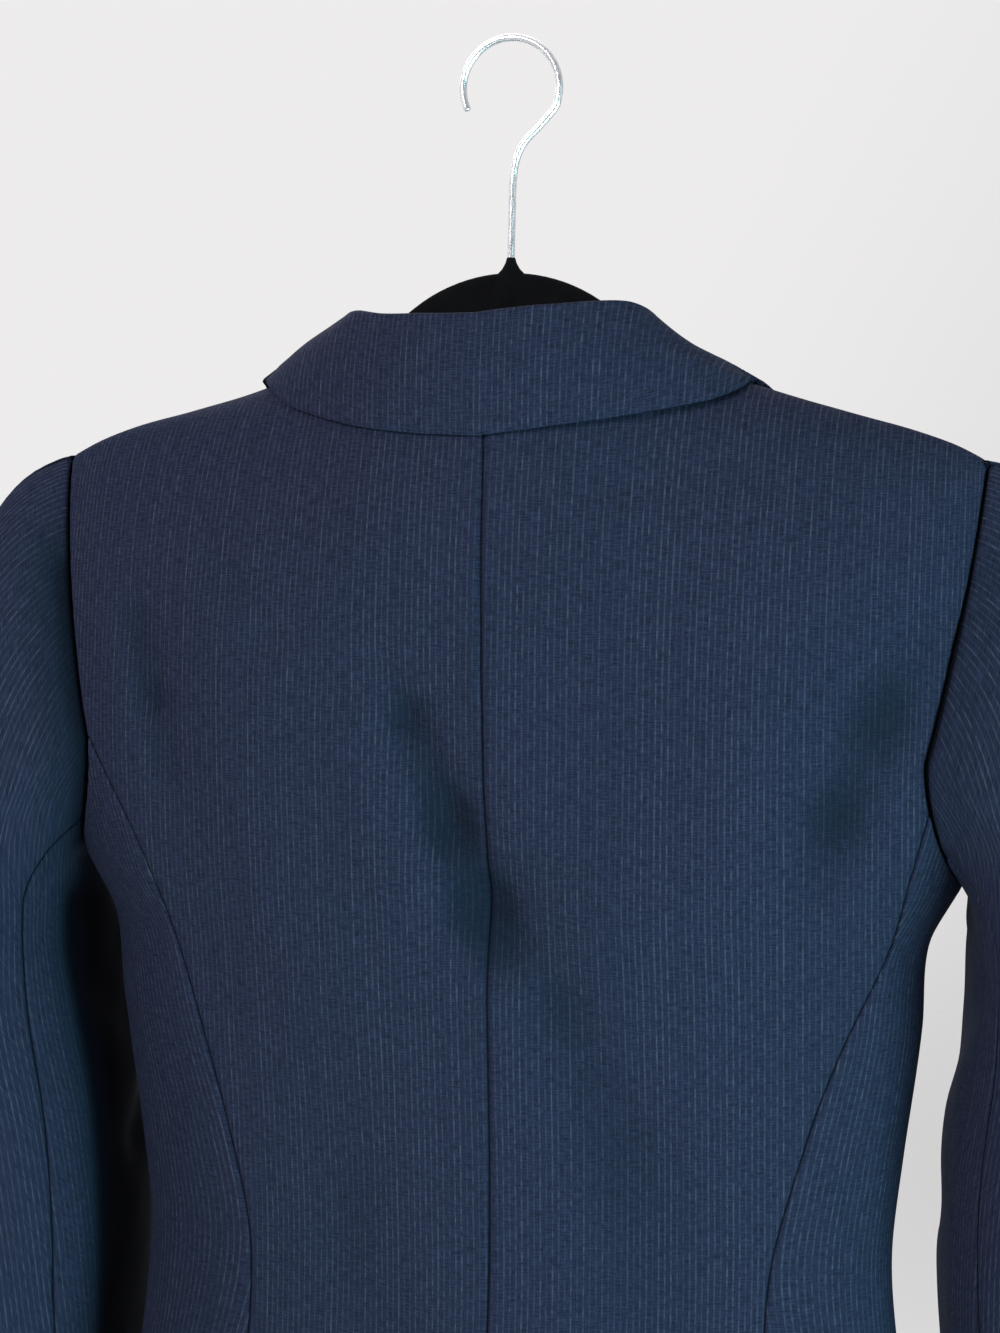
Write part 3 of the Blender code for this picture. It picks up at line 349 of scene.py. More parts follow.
rings = []
angles = np.linspace(0.0, math.tau, ARM_SIDES, endpoint=False)[:, None]
for share in np.linspace(-1.0, 1.0, ARM_STATIONS):
    x = ARM_TIP_X * share
    rise = (arm_top(abs(x) + 0.0015) - arm_top(max(abs(x) - 0.0015, 0.0))) / 0.0030
    up = unit(np.array((-math.copysign(rise, x) if abs(x) > 0.0001 else 0.0, 0.0, 1.0)))
    half = 0.5 * mix(*ARM_HEIGHTS, abs(share))
    # the last few millimetres of each arm narrow to a rounded tip
    full = 0.4 + 0.6 * math.sqrt(max(1.0 - max(abs(share) - ARM_TIP_SHARE, 0.0) / (1.0 - ARM_TIP_SHARE), 0.0))
    along = signed_power(np.sin(angles), 0.8) * half * (0.7 + 0.3 * full)
    over = signed_power(np.cos(angles), 0.5) * HANGER_THICKNESS / 2 * full
    rings.append(np.array((x, 0.0, arm_top(abs(x)))) - up * half + along * up + over * sideways)
bm = bmesh.new()
tube(bm, rings)
hanger = link_mesh("velvet_hanger", bm, velvet)
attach(hanger, "root")
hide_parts("hanger_body")
bm = bmesh.new()
tube(bm, [ring((0.0, 0.0, z), (radius, 0.0, 0.0), (0.0, min(radius, NECK_DEPTH), 0.0), NECK_SIDES)
          for z, radius in NECK_CONE])
neck = link_mesh("velvet_hanger_neck", bm, velvet)
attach(neck, "root")

# ---------------------------------------------------------------------------
# Back: two panels of dark navy suiting with fine pale stripes down the cloth,
# sewn together down the centre and pressed open.
SIDES = ((1, "left"), (-1, "right"))
BODY_Z = mm(-100, -180, -260, -320, -361.5, -390, -430, -485.5, -535, -600, -680, -766)
HALF_WIDTHS = mm(212, 213, 213, 211, 201, 187, 184.5, 178, 173.5, 180, 194, 207)
BACK_DEPTHS = mm(75, 76, 78, 78.5, 77.5, 76, 72.5, 68, 66.5, 72, 80, 86)
FRONT_DEPTHS = mm(76, 79, 84, 88, 89, 87.5, 83, 76, 72, 73, 76, 78)
SQUARENESS = (2.2, 2.2, 2.2, 2.2, 2.15, 2.1, 2.05, 2.0, 2.0, 2.0, 2.0, 2.0)
DOME_HEIGHT = 0.150
HEM_Z = -0.766
HEM_DIP = 0.006
HEM_DIP_X = 0.200
NECK_HALF_WIDTH = 0.080
NECK_BACK = 0.056
NECK_SHARE = 8.0 / 15.0
ARMHOLE_X = 0.206
ARMHOLE_MIDDLE_Z = -0.305
ARMHOLE_BOTTOM_Z = -0.3615
ARMHOLE_BACK_TURN = math.radians(30.0)
ARMHOLE_FRONT_TURN = math.radians(33.0)
ARMHOLE_TOP_TURN = math.radians(13.5)
SEAM_CLOCKS = {1: math.radians(90.0), -1: math.radians(112.5)}
ARMHOLE_SHARES = {side: clock / math.radians(11.25) / 21.0 for side, clock in SEAM_CLOCKS.items()}
CENTRE_Z = mm(-146, -180, -220, -300, -380, -470, -600, -770)
CENTRE_X = mm(0, -3, -4, -5.6, -6.2, -6, -4, -2)
CENTRE_UPPER = 8.0 / 21.0
# Heights, distances from the centre on the left and right, and the distance at the hem
BACK_SEAM = (mm(-305, -330, -353.5, -389, -431, -473, -535, -620, -770), {
    1: mm(185.5, 170.2, 157.3, 143, 130, 119, 108, 114, 133),
    -1: mm(194.5, 187.2, 181.2, 171.5, 153, 138.5, 124, 125, 138),
}, 0.130)
# Soft troughs (positive) and swells of the hanging cloth, in millimetres: face, run, depth and reach
FOLDS = (
    (1, 10, -265, 2, -370, 4.2, 20),
    (1, -10, -370, -66, -470, 1.2, 26),
    (1, -60, -470, -85, -600, 3, 30),
    (1, 105, -230, 70, -400, -2.8, 34),
    (1, -120, -240, -75, -360, -3, 36),
    (1, 150, -250, 135, -330, 2.4, 16),
    (1, 60, -500, 40, -600, 2.6, 24),
    (-1, 105, -290, 60, -440, 3.4, 22),
    (-1, -110, -300, -70, -460, 3, 22),
    (-1, 80, -520, 95, -660, 2.6, 26),
    (-1, -60, -540, -90, -680, 3, 26),
    # the soft crease that runs down to the waist across the centre seam, and its swells
    (1, 10, -265, 2, -350, -3.4, 20),
    (1, 36, -268, 28, -288, 2.2, 8.5),
    (1, 28, -288, 10, -333, 5.2, 11.5),
    (1, 10, -333, -5, -364, 5.6, 14.5),
    (1, -5, -364, -10.5, -388, 4, 11),
    (1, 56, -296, 34, -356, -2.2, 15),
    (1, -8, -270, -26, -330, -1.8, 17),
    (1, -24, -382, -38, -410, 2, 13),
    (1, -38, -410, -48, -436, 1.8, 16),
    (1, -50, -360, -100, -386, -2.6, 22),
    # beside the armholes
    (1, -182, -256, -168, -285, 3.4, 17),
    (1, -168, -285, -150, -326, 4.2, 17),
    (1, -150, -326, -141, -356, 3.6, 16),
    (1, -116, -290, -108, -360, -2.6, 20),
    (1, 162, -250, 150, -285, 3.2, 8.5),
    (1, 150, -285, 144, -315, 1.6, 8),
    (1, 124, -225, 92, -256, 1.4, 9),
    (1, 92, -256, 50, -274, 1.2, 10),
    # under the collar and across the shoulders
    (1, -50, -190, -110, -186, 1.1, 9),
    (1, -110, -186, -170, -208, 1.4, 10),
    (1, 86, -164, 118, -174, 1.2, 8),
    # on the fronts, from the armholes and at the waist
    (-1, 160, -245, 135, -295, 3, 11),
    (-1, -160, -255, -140, -305, 2.8, 10),
    (-1, 50, -455, 86, -430, 1.6, 10),
    (-1, -42, -550, -84, -520, 1.8, 11),
)
# Painted shade in the creases: the depth where it starts, and the depth over which it grows to full
CREASE_SHADE_FROM, CREASE_SHADE_OVER = 0.0008, 0.0075
LAP_FULL, LAP_FADE = 0.021, 0.060
CLOTH = 0.0013
UNEVEN = 0.0009
WAVES = 14
WAVE_LENGTHS = (0.022, 0.085)
SEAM_SINK, SEAM_WIDTH = 0.0010, 0.0011
SEAM_SWELL = 0.00022
PUCKER = 0.00009
TURNED_EDGE = 0.0007
EDGE_STEPS = np.array(mm(0, 0.3, 0.6, 1, 1.4, 1.9, 2.6, 3.6, 5, 7))
STRIPE_PITCH = 0.00265
WARP_PITCH, WEFT_PITCH = 0.00066, 0.00072

half_width, back_depth, front_depth, squareness = [
    through(BODY_Z, column) for column in (HALF_WIDTHS, BACK_DEPTHS, FRONT_DEPTHS, SQUARENESS)]


def soft_step(f):
    f = np.clip(f, 0.0, 1.0)
    return f * f * (3.0 - 2.0 * f)


def dome(x, z):
    """How far the cloth has opened from the shoulder line."""
    drop = np.clip((ridge(x) - z) / DOME_HEIGHT, 0.0, 1.0)
    return np.sqrt(np.maximum(1.0 - (1.0 - drop) ** 2, 0.0))


def depth_at(z, face):
    return np.where(face > 0, back_depth(z), front_depth(z))


def turn_at(x, z):
    """Turn round the level section, from the side (0) to the centre (90 degrees)."""
    return np.arccos(signed_power(np.clip(x / half_width(z), -1.0, 1.0), squareness(z) / 2.0))


def bare_surface(side, turn, z, face):
    """Points of the plain body form; side is +1 for the wearer's left."""
    power = 2.0 / squareness(z)
    x = side * half_width(z) * signed_power(np.cos(turn), power)
    y = face * depth_at(z, face) * np.abs(np.sin(turn)) ** power * dome(x, z)
    return np.stack(np.broadcast_arrays(x, y, z), axis=-1)


def outward(points, face):
    """Outward directions of the plain body form."""
    x, y, z = np.moveaxis(points, -1, 0)

    def level(x, y, z):
        opened = depth_at(z, face) * np.maximum(dome(x, z), 0.02)
        return np.abs(x / half_width(z)) ** squareness(z) + np.abs(y / opened) ** squareness(z)

    e = 0.0001
    slopes = np.stack([
        level(x + dx, y + dy, z + dz) - level(x - dx, y - dy, z - dz) for dx, dy, dz in np.eye(3) * e
    ], axis=-1)
    tilt = (ridge(x + 0.001) - ridge(x - 0.001)) / 0.002
    on_ridge = np.stack((-tilt, np.zeros_like(x), np.ones_like(x)), axis=-1)
    return unit(np.where((ridge(x) - z < 0.0004)[..., None], on_ridge, slopes))


def trough(x, z, x0, z0, x1, z1, reach):
    """Strength of one soft run at places on the cloth, 1 along its middle."""
    run_x, run_z = x1 - x0, z1 - z0
    length = math.hypot(run_x, run_z)
    along = ((x - x0) * run_x + (z - z0) * run_z) / length ** 2
    across = ((x - x0) * run_z - (z - z0) * run_x) / length
    over = np.maximum(np.maximum(-along, along - 1.0), 0.0) * length
    return np.exp(-((across ** 2 + over ** 2) / reach ** 2))


def fold_depth(x, z, face):
    """Net depth of the troughs and swells at places on the cloth."""
    sunk = np.zeros_like(x)
    for fold_face, *measures in FOLDS:
        *run, depth, reach = mm(*measures)
        sunk += np.where(face == fold_face, depth * trough(x, z, *run, reach), 0.0)
    return sunk


def painted_crease_shade(points, face):
    """How far each place lies down in a crease, from 0 to 1: the strength of the painted shade there."""
    return soft_step((fold_depth(points[..., 0], points[..., 2], face) - CREASE_SHADE_FROM) / CREASE_SHADE_OVER)


def body_point(side, turn, z, face, lift=0.0, lap=0.0):
    """Points on the hanging cloth, lifted outwards, with their outward directions."""
    points = bare_surface(side, turn, z, face)
    normals = outward(points, face)
    x = points[..., 0]
    lapped = lap * soft_step((LAP_FADE - np.abs(x)) / (LAP_FADE - LAP_FULL))
    return points + normals * (lift + lapped - fold_depth(x, z, face) * dome(x, z))[..., None], normals


def on_body(x, z, face, lift=0.0, lap=0.0):
    """Points of the cloth at places seen from the front or back."""
    return body_point(np.where(x >= 0, 1.0, -1.0), turn_at(np.abs(x), z), z, face, lift, lap)


def armhole_place(clock):
    """Turn and height of the armhole: clock 90 degrees is its top, 0 its back, 180 its front."""
    middle = np.where(np.cos(clock) >= 0, ARMHOLE_BACK_TURN, ARMHOLE_FRONT_TURN)
    rise = np.sin(clock)
    turn = np.where(rise >= 0, mix(middle, ARMHOLE_TOP_TURN, rise), middle * np.abs(np.cos(clock)))
    end_z = np.where(rise >= 0, ridge(ARMHOLE_X), ARMHOLE_BOTTOM_Z)
    return turn, mix(ARMHOLE_MIDDLE_Z, end_z, np.abs(rise))


def neck_place(angle):
    """Turn and height of the neck seam at plan angles from the centre back."""
    x, y = NECK_HALF_WIDTH * np.sin(angle), NECK_BACK * np.cos(angle)
    high = ridge(x)
    low = high - DOME_HEIGHT
    for _ in range(40):
        middle = 0.5 * (high + low)
        inside = bare_surface(1, turn_at(x, middle), middle, 1)[..., 1] < y
        high, low = np.where(inside, middle, high), np.where(inside, low, middle)
    return turn_at(x, high), high


def hem_z(x):
    return HEM_Z + HEM_DIP * (abs(x) / HEM_DIP_X) ** 2


def shares(count, length):
    """Even steps along a panel, with finer ones beside both of its edges."""
    close = EDGE_STEPS / length
    middle = np.linspace(close[-1], 1.0 - close[-1], count)
    return np.concatenate((close[:-1], middle, 1.0 - close[-2::-1]))


def with_marks(steps, *marks):
    """Steps along a panel with its corners among them."""
    return np.unique(np.concatenate((steps, marks)))


def edge_of(turn, z):
    """One edge of a panel, as a table of turns and heights."""
    return np.stack(np.broadcast_arrays(turn, z), axis=-1)


def seam_edge(side, face, seam, v):
    """Places down a panel's side edge: the armhole, and then its seam to the hem."""
    seam_z, seam_x, hem_x = seam
    rows = ARMHOLE_SHARES[side]
    turn, z = armhole_place(math.pi / 2 - face * SEAM_CLOCKS[side] * np.minimum(v / rows, 1.0))
    low = mix(z[-1], hem_z(hem_x), np.maximum((v - rows) / (1.0 - rows), 0.0))
    line = through(seam_z, seam_x[side])
    return np.where(v[:, None] <= rows, edge_of(turn, z), edge_of(turn_at(line(low), low), low))


def patch(top, bottom, inner, outer, u, v):
    """Turns and heights inside a panel's four edges."""
    u, v = u[None, :, None], v[:, None, None]
    corners = mix(mix(top[0], top[-1], u), mix(bottom[0], bottom[-1], u), v)
    return np.moveaxis(mix(inner[:, None], outer[:, None], u) + mix(top[None], bottom[None], v) - corners, -1, 0)


def grid_normals(points):
    """Directions across a grid of points, on one side of it or the other."""
    return unit(np.cross(np.gradient(points, axis=1), np.gradient(points, axis=0)))


def hung(side, turn, z, face, lap=0.0):
    """Points of a panel on the hanging cloth, with their outward directions."""
    points, out = body_point(side, np.abs(turn), z, face + 0.0 * z, 0.0, lap)
    normals = grid_normals(points)
    return points, normals * np.where(np.sum(normals * out, axis=-1, keepdims=True) < 0, -1.0, 1.0)


def edge_distances(points):
    """Lengths over the cloth to a panel's top, bottom, first and last edges."""
    down = np.cumsum(np.linalg.norm(np.diff(points, axis=0, prepend=points[:1]), axis=-1), axis=0)
    over = np.cumsum(np.linalg.norm(np.diff(points, axis=1, prepend=points[:, :1]), axis=-1), axis=1)
    return down, down[-1:] - down, over, over[:, -1:] - over


def unevenness(points):
    """Small soft waves that any hanging cloth has."""
    rng = np.random.default_rng(11)
    height = np.zeros(points.shape[:-1])
    for _ in range(WAVES):
        way = unit(rng.normal(size=3) * (1.0, 1.0, 0.55))
        wave = math.tau / rng.uniform(*WAVE_LENGTHS)
        height += np.sin(points @ way * wave + rng.uniform(0.0, math.tau)) / WAVES
    return UNEVEN * height


def finish_cloth(points, normals, edges, weave):
    """Sink seams, round edges and pucker the cloth beside its stitching; weave notes how near a seam is."""
    height = unevenness(points)
    weave[..., 2] = 0.1
    ripple = np.sin(points[..., 2] * 620.0 + 1.7 * np.sin(points[..., 2] * 97.0))
    for kind, distance in zip(edges, edge_distances(points)):
        if kind == "seam":
            weave[..., 2] = np.minimum(weave[..., 2], distance)
            height -= SEAM_SINK * np.exp(-(distance / SEAM_WIDTH) ** 2)
            height += SEAM_SWELL * np.exp(-((distance - 0.0045) / 0.0035) ** 2)
            height += PUCKER * ripple * np.exp(-((distance - 0.003) / 0.006) ** 2)
        elif kind == "fold":
            height -= TURNED_EDGE * np.exp(-(distance / 0.0008) ** 2)
    return points + normals * height[..., None]


def in_cloth(across, down):
    """Places in the pattern of the cloth, with room for how near a seam is."""
    return np.stack(np.broadcast_arrays(across, down, 0.0), axis=-1)


def cloth_shell(name, points, normals, weave, painted_shade, wall):
    """Closed thin shell of one cut panel, and what the frame is told of it."""
    bm = bmesh.new()
    pattern = bm.verts.layers.float_vector.new("weave")
    # each point keeps the strength of its painted shade, for the material to darken it
    shade = bm.verts.layers.float.new("painted_shade")
    inner_of = {}
    for r, line in enumerate(bend_grid(bm, points)):
        for c, vert in enumerate(line):
            vert[pattern] = weave[r, c]
            vert[shade] = painted_shade[r, c]
            inner_of[tuple(vert.co)] = points[r, c] - normals[r, c] * wall
    grown = bmesh.ops.extrude_face_region(bm, geom=bm.faces[:])
    moved = {item for item in grown["geom"] if isinstance(item, bmesh.types.BMVert)}
    for vert in moved:
        vert.co = inner_of[tuple(vert.co)]
    for face in bm.faces:
        if all(vert in moved for vert in face.verts):
            face.material_index = 1
    bmesh.ops.recalc_face_normals(bm, faces=bm.faces)
    piece = link_mesh("cloth_" + name, bm, cloth, wrong_side)
    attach(piece, "root")
    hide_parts(name)


def sew_panel(name, points, normals, across, edges, painted_shade, wall=CLOTH):
    """Finish one panel whose stripes hang straight down, and make its shell."""
    weave = in_cloth(across, points[..., 2])
    points = finish_cloth(points, normals, edges, weave)
    cloth_shell(name, points, normals, weave, painted_shade(points), wall)


def suit_cloth(name, striped=True):
    """Worsted suiting: fine pale stripes of uneven strength over a close weave."""
    material, tree, shader = new_material(name, (0.016, 0.023, 0.050), 0.85, {
        "Specular IOR Level": 0.02, "Sheen Weight": 0.01, "Sheen Roughness": 0.5,
        "Sheen Tint": (0.55, 0.62, 0.80, 1.0)})
    weave = new_node(tree, "Attribute", attribute_name="weave").outputs["Vector"]
    # how much painted shade darkens each point of the cloth
    painted_shade = new_node(tree, "Attribute", attribute_name="painted_shade").outputs["Fac"]
    u, v, seam = new_node(tree, "SeparateXYZ", {0: weave}).outputs

    # each stripe wavers a little, and has its own strength and slubs
    wobble = calc(tree, "SUBTRACT", noise(tree, weave, (60.0, 22.0, 1.0), 1.0), 0.5)
    u = calc(tree, "ADD", u, calc(tree, "MULTIPLY", wobble, 0.0005))
    cell = calc(tree, "DIVIDE", u, STRIPE_PITCH)
    number = calc(tree, "FLOOR", cell)
    off = calc(tree, "ABSOLUTE", calc(tree, "SUBTRACT", calc(tree, "FRACT", cell), 0.5))
    chance = new_node(tree, "TexWhiteNoise", {"W": number}, noise_dimensions="1D").outputs["Value"]
    yarn = new_node(tree, "CombineXYZ", {0: calc(tree, "MULTIPLY", number, 3.71), 1: calc(tree, "MULTIPLY", v, 210.0)})
    slub = noise(tree, yarn.outputs[0], 1.0, 5.0, Roughness=0.75)
    stripe = calc(tree, "MULTIPLY", spread(tree, off, 0.05, 0.19, 1.0, 0.0),
                  spread(tree, slub, 0.34, 0.70, 0.06, 1.05), spread(tree, chance, 0.0, 1.0, 0.50, 1.10))

    warp = calc(tree, "SINE", calc(tree, "MULTIPLY", u, math.tau / WARP_PITCH))
    weft = calc(tree, "SINE", calc(tree, "MULTIPLY", v, math.tau / WEFT_PITCH))
    close = calc(tree, "MULTIPLY", warp, weft)
    level = noise(tree, weave, (170.0, 2300.0, 1.0))
    plumb = noise(tree, weave, (2100.0, 190.0, 1.0))
    cloud = noise(tree, new_node(tree, "TexCoord").outputs["Object"], 14.0)
    base = blend(tree, cloud, (0.0146, 0.0218, 0.0440), (0.0186, 0.0220, 0.0484))
    if striped:
        shade = calc(tree, "ADD", calc(tree, "MULTIPLY", close, 0.10), 1.0)
        shade = calc(tree, "MULTIPLY", shade, spread(tree, plumb, 0.25, 0.75, 0.78, 1.22),
                     spread(tree, level, 0.32, 0.70, 0.68, 1.30))
        tone = new_node(tree, "CombineXYZ", {0: shade, 1: shade, 2: shade})
        base = blend(tree, 1.0, base, tone.outputs[0], "MULTIPLY")
        base = blend(tree, stripe, base, (0.050, 0.060, 0.092))
    # painted shade darkens the creases and the deepest hollows; the dark line along each seam is partly its needle line
    # and partly painted shade
    for share, colour in (
        (calc(tree, "MULTIPLY", painted_shade, 0.64), (0.0045, 0.0115, 0.0200)),
        (spread(tree, painted_shade, 0.95, 1.50), (0.0014, 0.0020, 0.0048)),
        (spread(tree, seam, 0.0002, 0.0008, 0.80, 0.0), (0.0015, 0.0022, 0.0045)),
    ):
        base = blend(tree, share, base, colour)
    tree.links.new(base, shader.inputs["Base Color"])
    height = calc(tree, "ADD", calc(tree, "MULTIPLY", close, 0.5), calc(tree, "MULTIPLY", stripe, 0.9), level, plumb)
    rough_up(tree, shader, height, 0.35, 0.00012)
    return material


cloth = suit_cloth("navy_pinstripe")
wrong_side = suit_cloth("navy_wrong_side", striped=False)


def length_over(reach, count, form):
    """Length along a curve over distance from its start, both ways."""
    steps = np.linspace(0.0, reach, count)
    lengths = np.concatenate(((0.0,), np.cumsum(np.hypot(np.diff(steps), np.diff(form(steps))))))
    return lambda x: np.sign(x) * np.interp(np.abs(x), steps, lengths)


over_back = length_over(0.212, 400, lambda x: 0.074 * np.sqrt(np.maximum(1.0 - (x / 0.2125) ** 2, 0.0)))

for side, word in SIDES:
    u = with_marks(shares(62, 0.19), NECK_SHARE)
    v = with_marks(shares(168, 0.62), ARMHOLE_SHARES[side])
    neck_turn, neck_z = neck_place(np.minimum(u / NECK_SHARE, 1.0) * math.pi / 2)
    shoulder_x = mix(NECK_HALF_WIDTH, ARMHOLE_X, np.maximum((u - NECK_SHARE) / (1.0 - NECK_SHARE), 0.0))
    shoulder_z = ridge(shoulder_x)
    top = np.where(u[:, None] <= NECK_SHARE, edge_of(neck_turn, neck_z),
                   edge_of(turn_at(shoulder_x, shoulder_z), shoulder_z))
    outer = seam_edge(side, 1, BACK_SEAM, v)
    centre = np.where(
        v <= CENTRE_UPPER, mix(neck_z[0], ARMHOLE_MIDDLE_Z, np.minimum(v / CENTRE_UPPER, 1.0) ** 1.5),
        mix(ARMHOLE_MIDDLE_Z, hem_z(0.0), (v - CENTRE_UPPER) / (1.0 - CENTRE_UPPER)))
    inner = edge_of(turn_at(side * through(CENTRE_Z, CENTRE_X)(centre), centre), centre)
    top[0], top[-1] = inner[0], outer[0]
    bottom = mix(inner[-1], outer[-1], np.stack((u, u * u), axis=-1))
    turn, z = patch(top, bottom, inner, outer, u, v)
    points, normals = hung(side, turn, z, 1)
    # the back's creases are darkened with painted shade
    sew_panel("back_" + word, points, normals, over_back(points[..., 0]), ("seam", "fold", "seam", "seam"),
              lambda points: painted_crease_shade(points, 1))

# ---------------------------------------------------------------------------
# Sides: one narrow panel on each side runs under the armhole from the back seam
# to the front one, and shapes the waist.
FRONT_SEAM = (mm(-305, -330, -353.5, -389, -473, -535, -620, -770), {
    1: mm(180, 168, 156, 144, 125, 120, 127, 144),
    -1: mm(187, 180, 168, 151, 127, 120, 127, 144),
}, 0.140)
# Painted shade of the sleeve on the panel beside the back seam: strength, columns and heights
SIDE_SHADE = {1: 0.34, -1: 0.12}
SHADE_IN, SHADE_OUT, SHADE_OUT_OVER = 0.16, 0.60, 0.25
SHADE_TOP, SHADE_TOP_OVER = -0.300, 0.050

over_side = length_over(0.0765, 200, lambda y: 0.190 * np.sqrt(1.0 - (y / 0.078) ** 2))


def side_edge(side, seam, v):
    """Places down one long edge of a side panel."""
    seam_z, seam_x, hem_x = seam
    z = mix(armhole_place(math.pi / 2 - SEAM_CLOCKS[side])[1], hem_z(hem_x), v)
    return edge_of(turn_at(through(seam_z, seam_x[side])(z), z), z)


for side, word in SIDES:
    u, v = shares(48, 0.12), shares(116, 0.44)
    clock = mix(math.pi / 2 - SEAM_CLOCKS[side], SEAM_CLOCKS[side] - 1.5 * math.pi, u)
    turn, z = armhole_place(clock)
    top = edge_of(turn * np.sign(np.cos(clock)), z)
    back = side_edge(side, BACK_SEAM, v)
    front = side_edge(side, FRONT_SEAM, v) * (-1.0, 1.0)
    back[0], front[0] = top[0], top[-1]
    dip = (hem_z(HEM_DIP_X) - hem_z(BACK_SEAM[2])) * np.sin(math.pi * u)
    bottom = mix(back[-1], front[-1], u[:, None]) + edge_of(0.0, dip)
    turn, z = patch(top, bottom, back, front, u, v)
    points, normals = hung(side, turn, z, np.where(turn >= 0, 1, -1))
    # painted shade of the sleeve on the panel, from just off the back seam and below the armhole
    beside = SIDE_SHADE[side] * soft_step(u / SHADE_IN) * soft_step((SHADE_OUT - u) / SHADE_OUT_OVER)
    sew_panel("side_" + word, points, normals, over_side(points[..., 1]) + 0.5, ("seam", "fold", "seam", "seam"),
              lambda points: beside * soft_step((SHADE_TOP - points[..., 2]) / SHADE_TOP_OVER))

# ---------------------------------------------------------------------------
# Fronts: two panels that close right over left with two buttons; each is
# rounded off at the hem and turns back into its lapel above the break.
LAP = 0.018
LAP_LIFT = 0.0013
LAPEL_TOP = (0.064, -0.165)
BREAK_Z = -0.420
FRONT_CURVE_TOP = -0.655
FRONT_CURVE_WIDTH = 0.062
FRONT_HEM_X = 0.050
FRONT_MARKS = (0.0, 2.0 / 21.0, 11.0 / 21.0, 17.0 / 21.0, 1.0)

for side, word in SIDES:
    u = shares(56, 0.17)
    v = with_marks(shares(168, 0.62), *FRONT_MARKS, ARMHOLE_SHARES[side])
    neck_f, roll_f, edge_f, bend_f = [
        np.clip((v - start) / (end - start), 0.0, 1.0) for start, end in zip(FRONT_MARKS, FRONT_MARKS[1:])]
    bend = bend_f * math.pi / 2
    x = mix(NECK_HALF_WIDTH, LAPEL_TOP[0], neck_f)
    x = np.where(roll_f > 0, mix(LAPEL_TOP[0], -LAP, roll_f), x) + FRONT_CURVE_WIDTH * (1.0 - np.cos(bend))
    z = mix(ridge(NECK_HALF_WIDTH), LAPEL_TOP[1], neck_f)
    z = np.where(roll_f > 0, mix(LAPEL_TOP[1], BREAK_Z, roll_f), z)
    z = np.where(edge_f > 0, mix(BREAK_Z, FRONT_CURVE_TOP, edge_f), z)
    z = np.where(bend > 0, mix(FRONT_CURVE_TOP, hem_z(FRONT_HEM_X), np.sin(bend)), z)
    inner = edge_of(turn_at(x, z), z)
    outer = seam_edge(side, -1, FRONT_SEAM, v)
    shoulder_x = mix(NECK_HALF_WIDTH, ARMHOLE_X, u)
    top = edge_of(turn_at(shoulder_x, ridge(shoulder_x)), ridge(shoulder_x))
    top[-1] = outer[0]
    turn, z = patch(top, mix(inner[-1], outer[-1], u[:, None]), inner, outer, u, v)
    points, normals = hung(side, turn, z, -1, -side * LAP_LIFT)
    # the fronts' creases are darkened with painted shade
    sew_panel("front_" + word, points, normals, over_back(points[..., 0]) + 1.0, ("seam", "fold", "fold", "seam"),
              lambda points: painted_crease_shade(points, -1))

# ---------------------------------------------------------------------------
# Lapels: the fronts' facings turned back along a soft roll, with a notch below
# the collar, pressed flat at the edge.
GORGE_CORNER = (0.094, -0.1885)
LAPEL_TIP = (0.126, -0.2075)
LAPEL_BELLY = (0.082, -0.330)
LAPEL_ENDS = {1: ((0.0040, -0.3520), (0.0230, -0.4020)), -1: ((-0.0165, -0.4160), (-0.0125, -0.4240))}
LAPEL_START = 0.004
LAPEL_WALL = 0.0018
LAPEL_CLOTH = 0.0014
LAPEL_ROLL = 0.0030
LAY_GAP = 0.0006
ROLL_COLUMNS = 9


def skin_normals(points, place, out):
    """Directions across a grid of points, on the side that is outwards at one place."""
    normals = grid_normals(points)
    return -normals if normals[place] @ out < 0 else normals


def no_painted_shade(points):
    return np.zeros(points.shape[:-1])


for side, word in SIDES:
    roll_end, edge_end = LAPEL_ENDS[side]
    u = shares(30, 0.06)[None, :]
    v = mix(LAPEL_START, 1.0, shares(90, 0.26)[:, None])
    near, far = np.minimum(u / 0.5, 1.0), np.maximum(u / 0.5 - 1.0, 0.0)
    x, z = [
        mix(mix(start, roll, v), (1 - v) ** 2 * tip + 2 * v * (1 - v) * belly + v * v * edge, u)
        + (mix(mix(start, corner, near), tip, far) - mix(start, tip, u)) * (1 - v) ** 3
        for start, corner, tip, belly, roll, edge in zip(
            LAPEL_TOP, GORGE_CORNER, LAPEL_TIP, LAPEL_BELLY, roll_end, edge_end)]
    lift = LAY_GAP + LAPEL_WALL + LAPEL_ROLL * (1 - u) ** 2 * np.sin(math.pi * (0.15 + 0.6 * v))
    # the roll itself: a half turn from the front's edge up to the lapel
    arc = np.linspace(math.pi, 0.0, ROLL_COLUMNS)[None, :-1]
    run = unit(np.array(roll_end) - LAPEL_TOP)
    over = lift[:, :1] / 2
    x = np.concatenate((x[:, :1] + run[1] * over * np.sin(arc), x), axis=1)
    z = np.concatenate((z[:, :1] - run[0] * over * np.sin(arc), z), axis=1)
    lift = np.concatenate((over * (1.0 + np.cos(arc)), lift), axis=1)
    points, normals = on_body(side * x, z, -np.ones_like(x), lift, -side * LAP_LIFT)
    normals = skin_normals(points, (40, 30), normals[40, 30])
    sew_panel("lapel_" + word, points, normals, edge_distances(points)[3] + 2.0, ("fold", "fold", "plain", "fold"),
              no_painted_shade, LAPEL_CLOTH)

